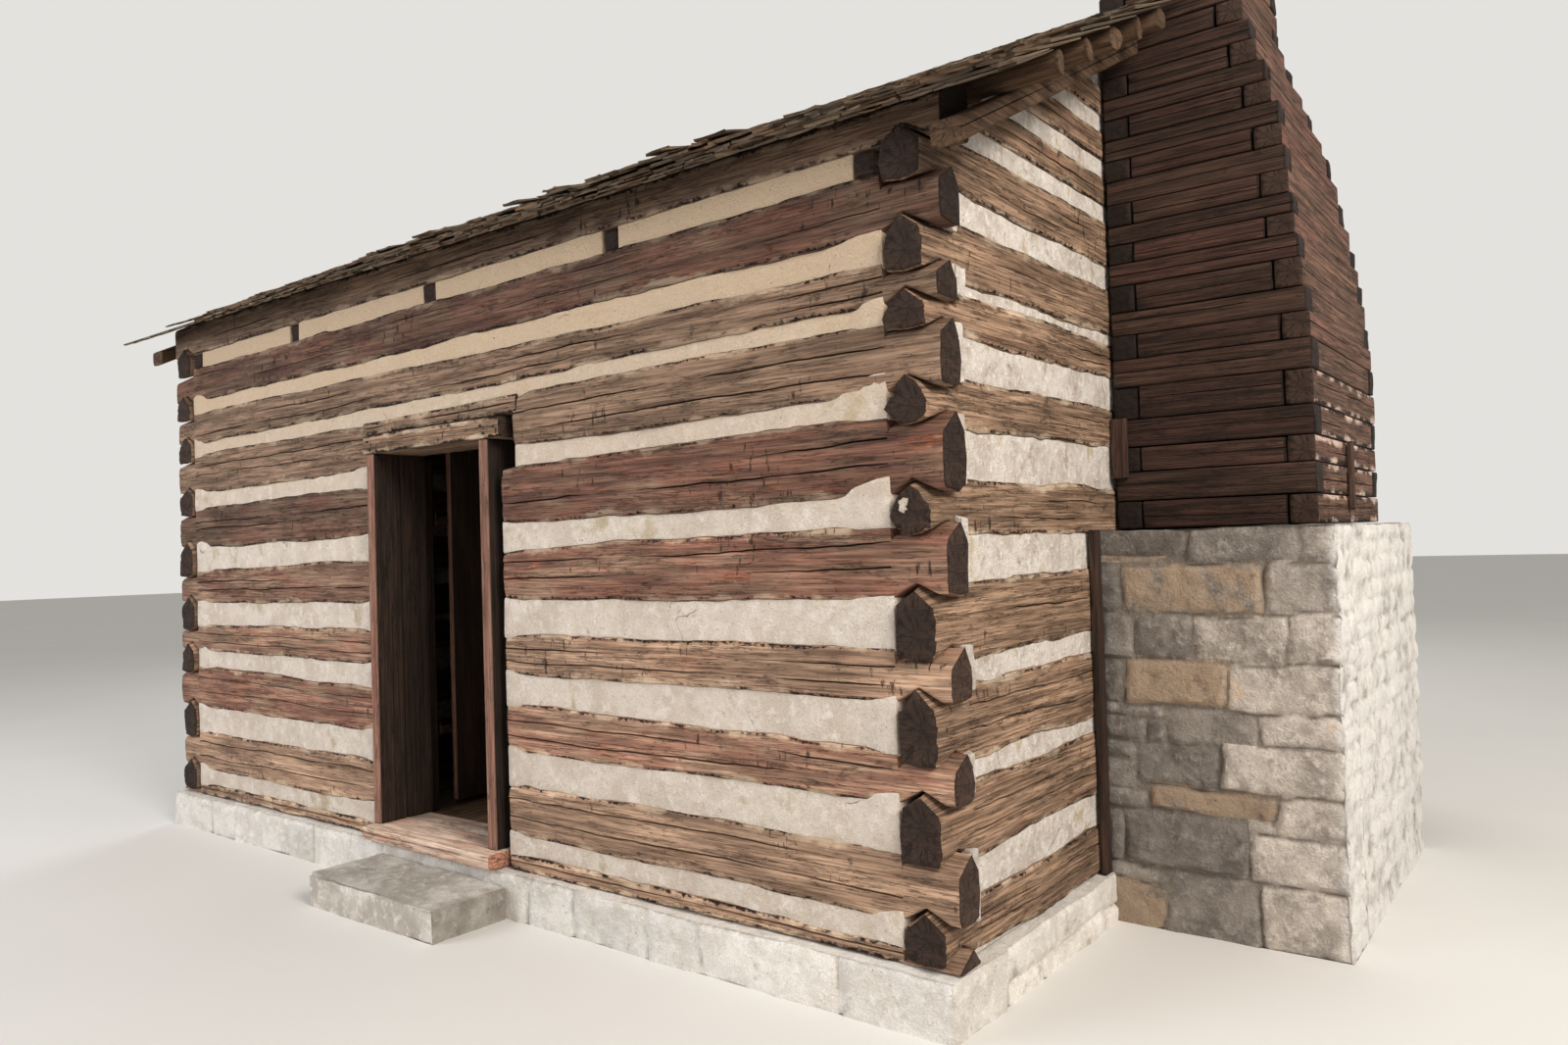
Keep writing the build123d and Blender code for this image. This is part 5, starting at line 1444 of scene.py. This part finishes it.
def stack_timbers(courses, along_x, is_long, seed):
    """The pair of timbers of each course that runs along X or along Y. The side that faces away from the wall
    is paler, as painted light, and clay is smeared over its lowest timbers."""
    skins = []
    for course in courses:
        rng = np.random.default_rng(seed + course)
        x0, x1 = STACK_X, STACK_X + np.interp(levels[course], *STACK_DEPTHS)
        y0, y1 = STACK_Y, STACK_Y + np.interp(levels[course], *STACK_WIDTHS)
        z0, z1 = levels[course] + 0.001, levels[course + 1] - rng.uniform(0.000, 0.003)
        crack, tone, rust = rng.uniform(-0.3, 0.3), rng.uniform(0.05, 0.35), rng.uniform(0, 0.7)
        proud = rng.uniform(0.0, 0.004)
        inset = 0.010 if is_long else TIMBER + 0.011
        (start, stop), places = ((x0, x1), (y0, y1)) if along_x else ((y0, y1), (x0, x1))
        for place, outer in zip(places, (-1, 1)):
            across = sorted((place + outer * (proud - 0.004), place - outer * TIMBER))
            far_side = outer > 0 and not along_x
            # The side away from the wall gets its tone raised by 1.2, painted light on that side
            skin = timber(0 if along_x else 1, start + inset, stop - inset, across, z0, z1,
                          seed + course * 2 + (outer > 0), outer=outer, power=14.0, step=0.055,
                          end_rings=5 if is_long else 2, wave=0.0025, relief=0.0025, crack_levels=(crack,),
                          crack_spans=2, crack_half=0.002, crack_depth=0.010, tone=tone + 1.2 * far_side,
                          rust=rust)
            if not (far_side and course < SMEARED):
                skin["rim"] = skin["rim"] + 1
            skins.append(skin)
    return skins


even, odd = range(0, len(COURSE_HEIGHTS), 2), range(1, len(COURSE_HEIGHTS), 2)
for name, courses, along_x, is_long, seed in (
        ("cross_timbers", even, False, True, 3300), ("side_fillers", even, True, False, 3400),
        ("side_timbers", odd, True, True, 3500), ("cross_fillers", odd, False, False, 3600)):
    piece("stack_oak_" + name, stack_timbers(courses, along_x, is_long, seed), stack_wood,
          ["stack_" + name])
for k, name in enumerate(("stack_cleat", "stack_corner_board", "wall_joint_strip")):
    strip = board(*corner(name), 2, 3700 + k, tone=0.5 - 0.2 * k, crack_levels=())
    piece(name + "_wood", [strip], stack_wood, [name])


# Floor, light and camera

def stage_floor():
    """A pale floor disc, 60 m in radius."""
    mesh = bpy.data.meshes.new("stage_floor")
    angle = np.linspace(0, 2 * pi, 96, endpoint=False)
    ring = np.stack([60 * np.cos(angle), 60 * np.sin(angle), np.zeros(96)], -1)
    mesh.from_pydata(ring.tolist(), [], [list(range(96))])
    material, tree = new_finish("pale_floor", 0.9, 0.1)
    spot = add(tree, PLACE, None, "Object")
    cloudy = add(tree, NOISE, {"Vector": spot, "Scale": 0.8, "Detail": 3.0})
    surface(tree, add(tree, MIX, {0: cloudy, 6: "#dcdad6", 7: "#e2e0dc"}, 2, **BLEND))
    mesh.materials.append(material)
    floor = bpy.data.objects.new("stage_floor", mesh)
    bpy.context.scene.collection.objects.link(floor)
    floor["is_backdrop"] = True


stage_floor()
world = bpy.data.worlds.new("studio")
bpy.context.scene.world = world
world.use_nodes = True
tree = world.node_tree
shown = tree.nodes["Background"]
shown.inputs["Color"].default_value = colour("#f2f0ec")
shown.inputs["Strength"].default_value = 0.55
seen = add(tree, "ShaderNodeBackground", {"Color": "#e4e2de", "Strength": 1.0})
path = add(tree, "ShaderNodeLightPath").node
either = add(tree, MATH, {0: path.outputs["Is Camera Ray"], 1: path.outputs["Is Glossy Ray"]}, **LARGER)
either = add(tree, MATH, {0: either, 1: path.outputs["Is Transmission Ray"]}, **LARGER)
tree.links.new(add(tree, "ShaderNodeMixShader", {0: either, 1: shown.outputs[0], 2: seen}),
               tree.nodes["World Output"].inputs["Surface"])


def lamp(name, place, aim, size, power, tint="#ffffff"):
    """A square soft light at place that shines towards aim."""
    data = bpy.data.lights.new(name, "AREA")
    data.size, data.energy, data.color = size, power, colour(tint)[:3]
    made = bpy.data.objects.new(name, data)
    made.location = place
    made.rotation_mode = "QUATERNION"
    made.rotation_quaternion = (Vector(aim) - Vector(place)).to_track_quat("-Z", "Y")
    bpy.context.scene.collection.objects.link(made)


lamp("key", (9.5, -4.5, 6.5), (1.0, -0.5, 1.8), 3.5, 900, "#fff8ef")
lamp("fill", (-4.0, -9.5, 5.0), (0.0, 0.0, 1.5), 5.0, 420, "#f4f7ff")
lamp("back", (-6.0, 8.0, 7.0), (0.0, 0.0, 1.5), 5.0, 420)


PHOTO_WIDTH = 1600
FOCAL_PIXELS = 1114.4


def photo_camera():
    """The photograph's camera: at eye height before the right-hand corner, turned 37.51 degrees left of +Y,
    1.166 degrees up, and rolled 1.723 degrees clockwise."""
    yaw, pitch, roll = (radians(v) for v in (37.51, 1.166, 1.723))
    forward = Vector((-sin(yaw) * cos(pitch), cos(yaw) * cos(pitch), sin(pitch)))
    right = Vector((cos(yaw), sin(yaw), 0))
    up = right.cross(forward)
    side = cos(roll) * right - sin(roll) * up
    rise = sin(roll) * right + cos(roll) * up
    data = bpy.data.cameras.new("photo_camera")
    data.sensor_width = 36.0
    data.lens = data.sensor_width * FOCAL_PIXELS / PHOTO_WIDTH
    made = bpy.data.objects.new("photo_camera", data)
    turned = Matrix((side, rise, -forward)).transposed().to_4x4()
    made.matrix_world = Matrix.Translation((4.105, -5.148, 1.580)) @ turned
    bpy.context.scene.collection.objects.link(made)
    bpy.context.scene.camera = made


photo_camera()
bpy.context.scene.view_settings.view_transform = "Standard"
low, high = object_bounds()
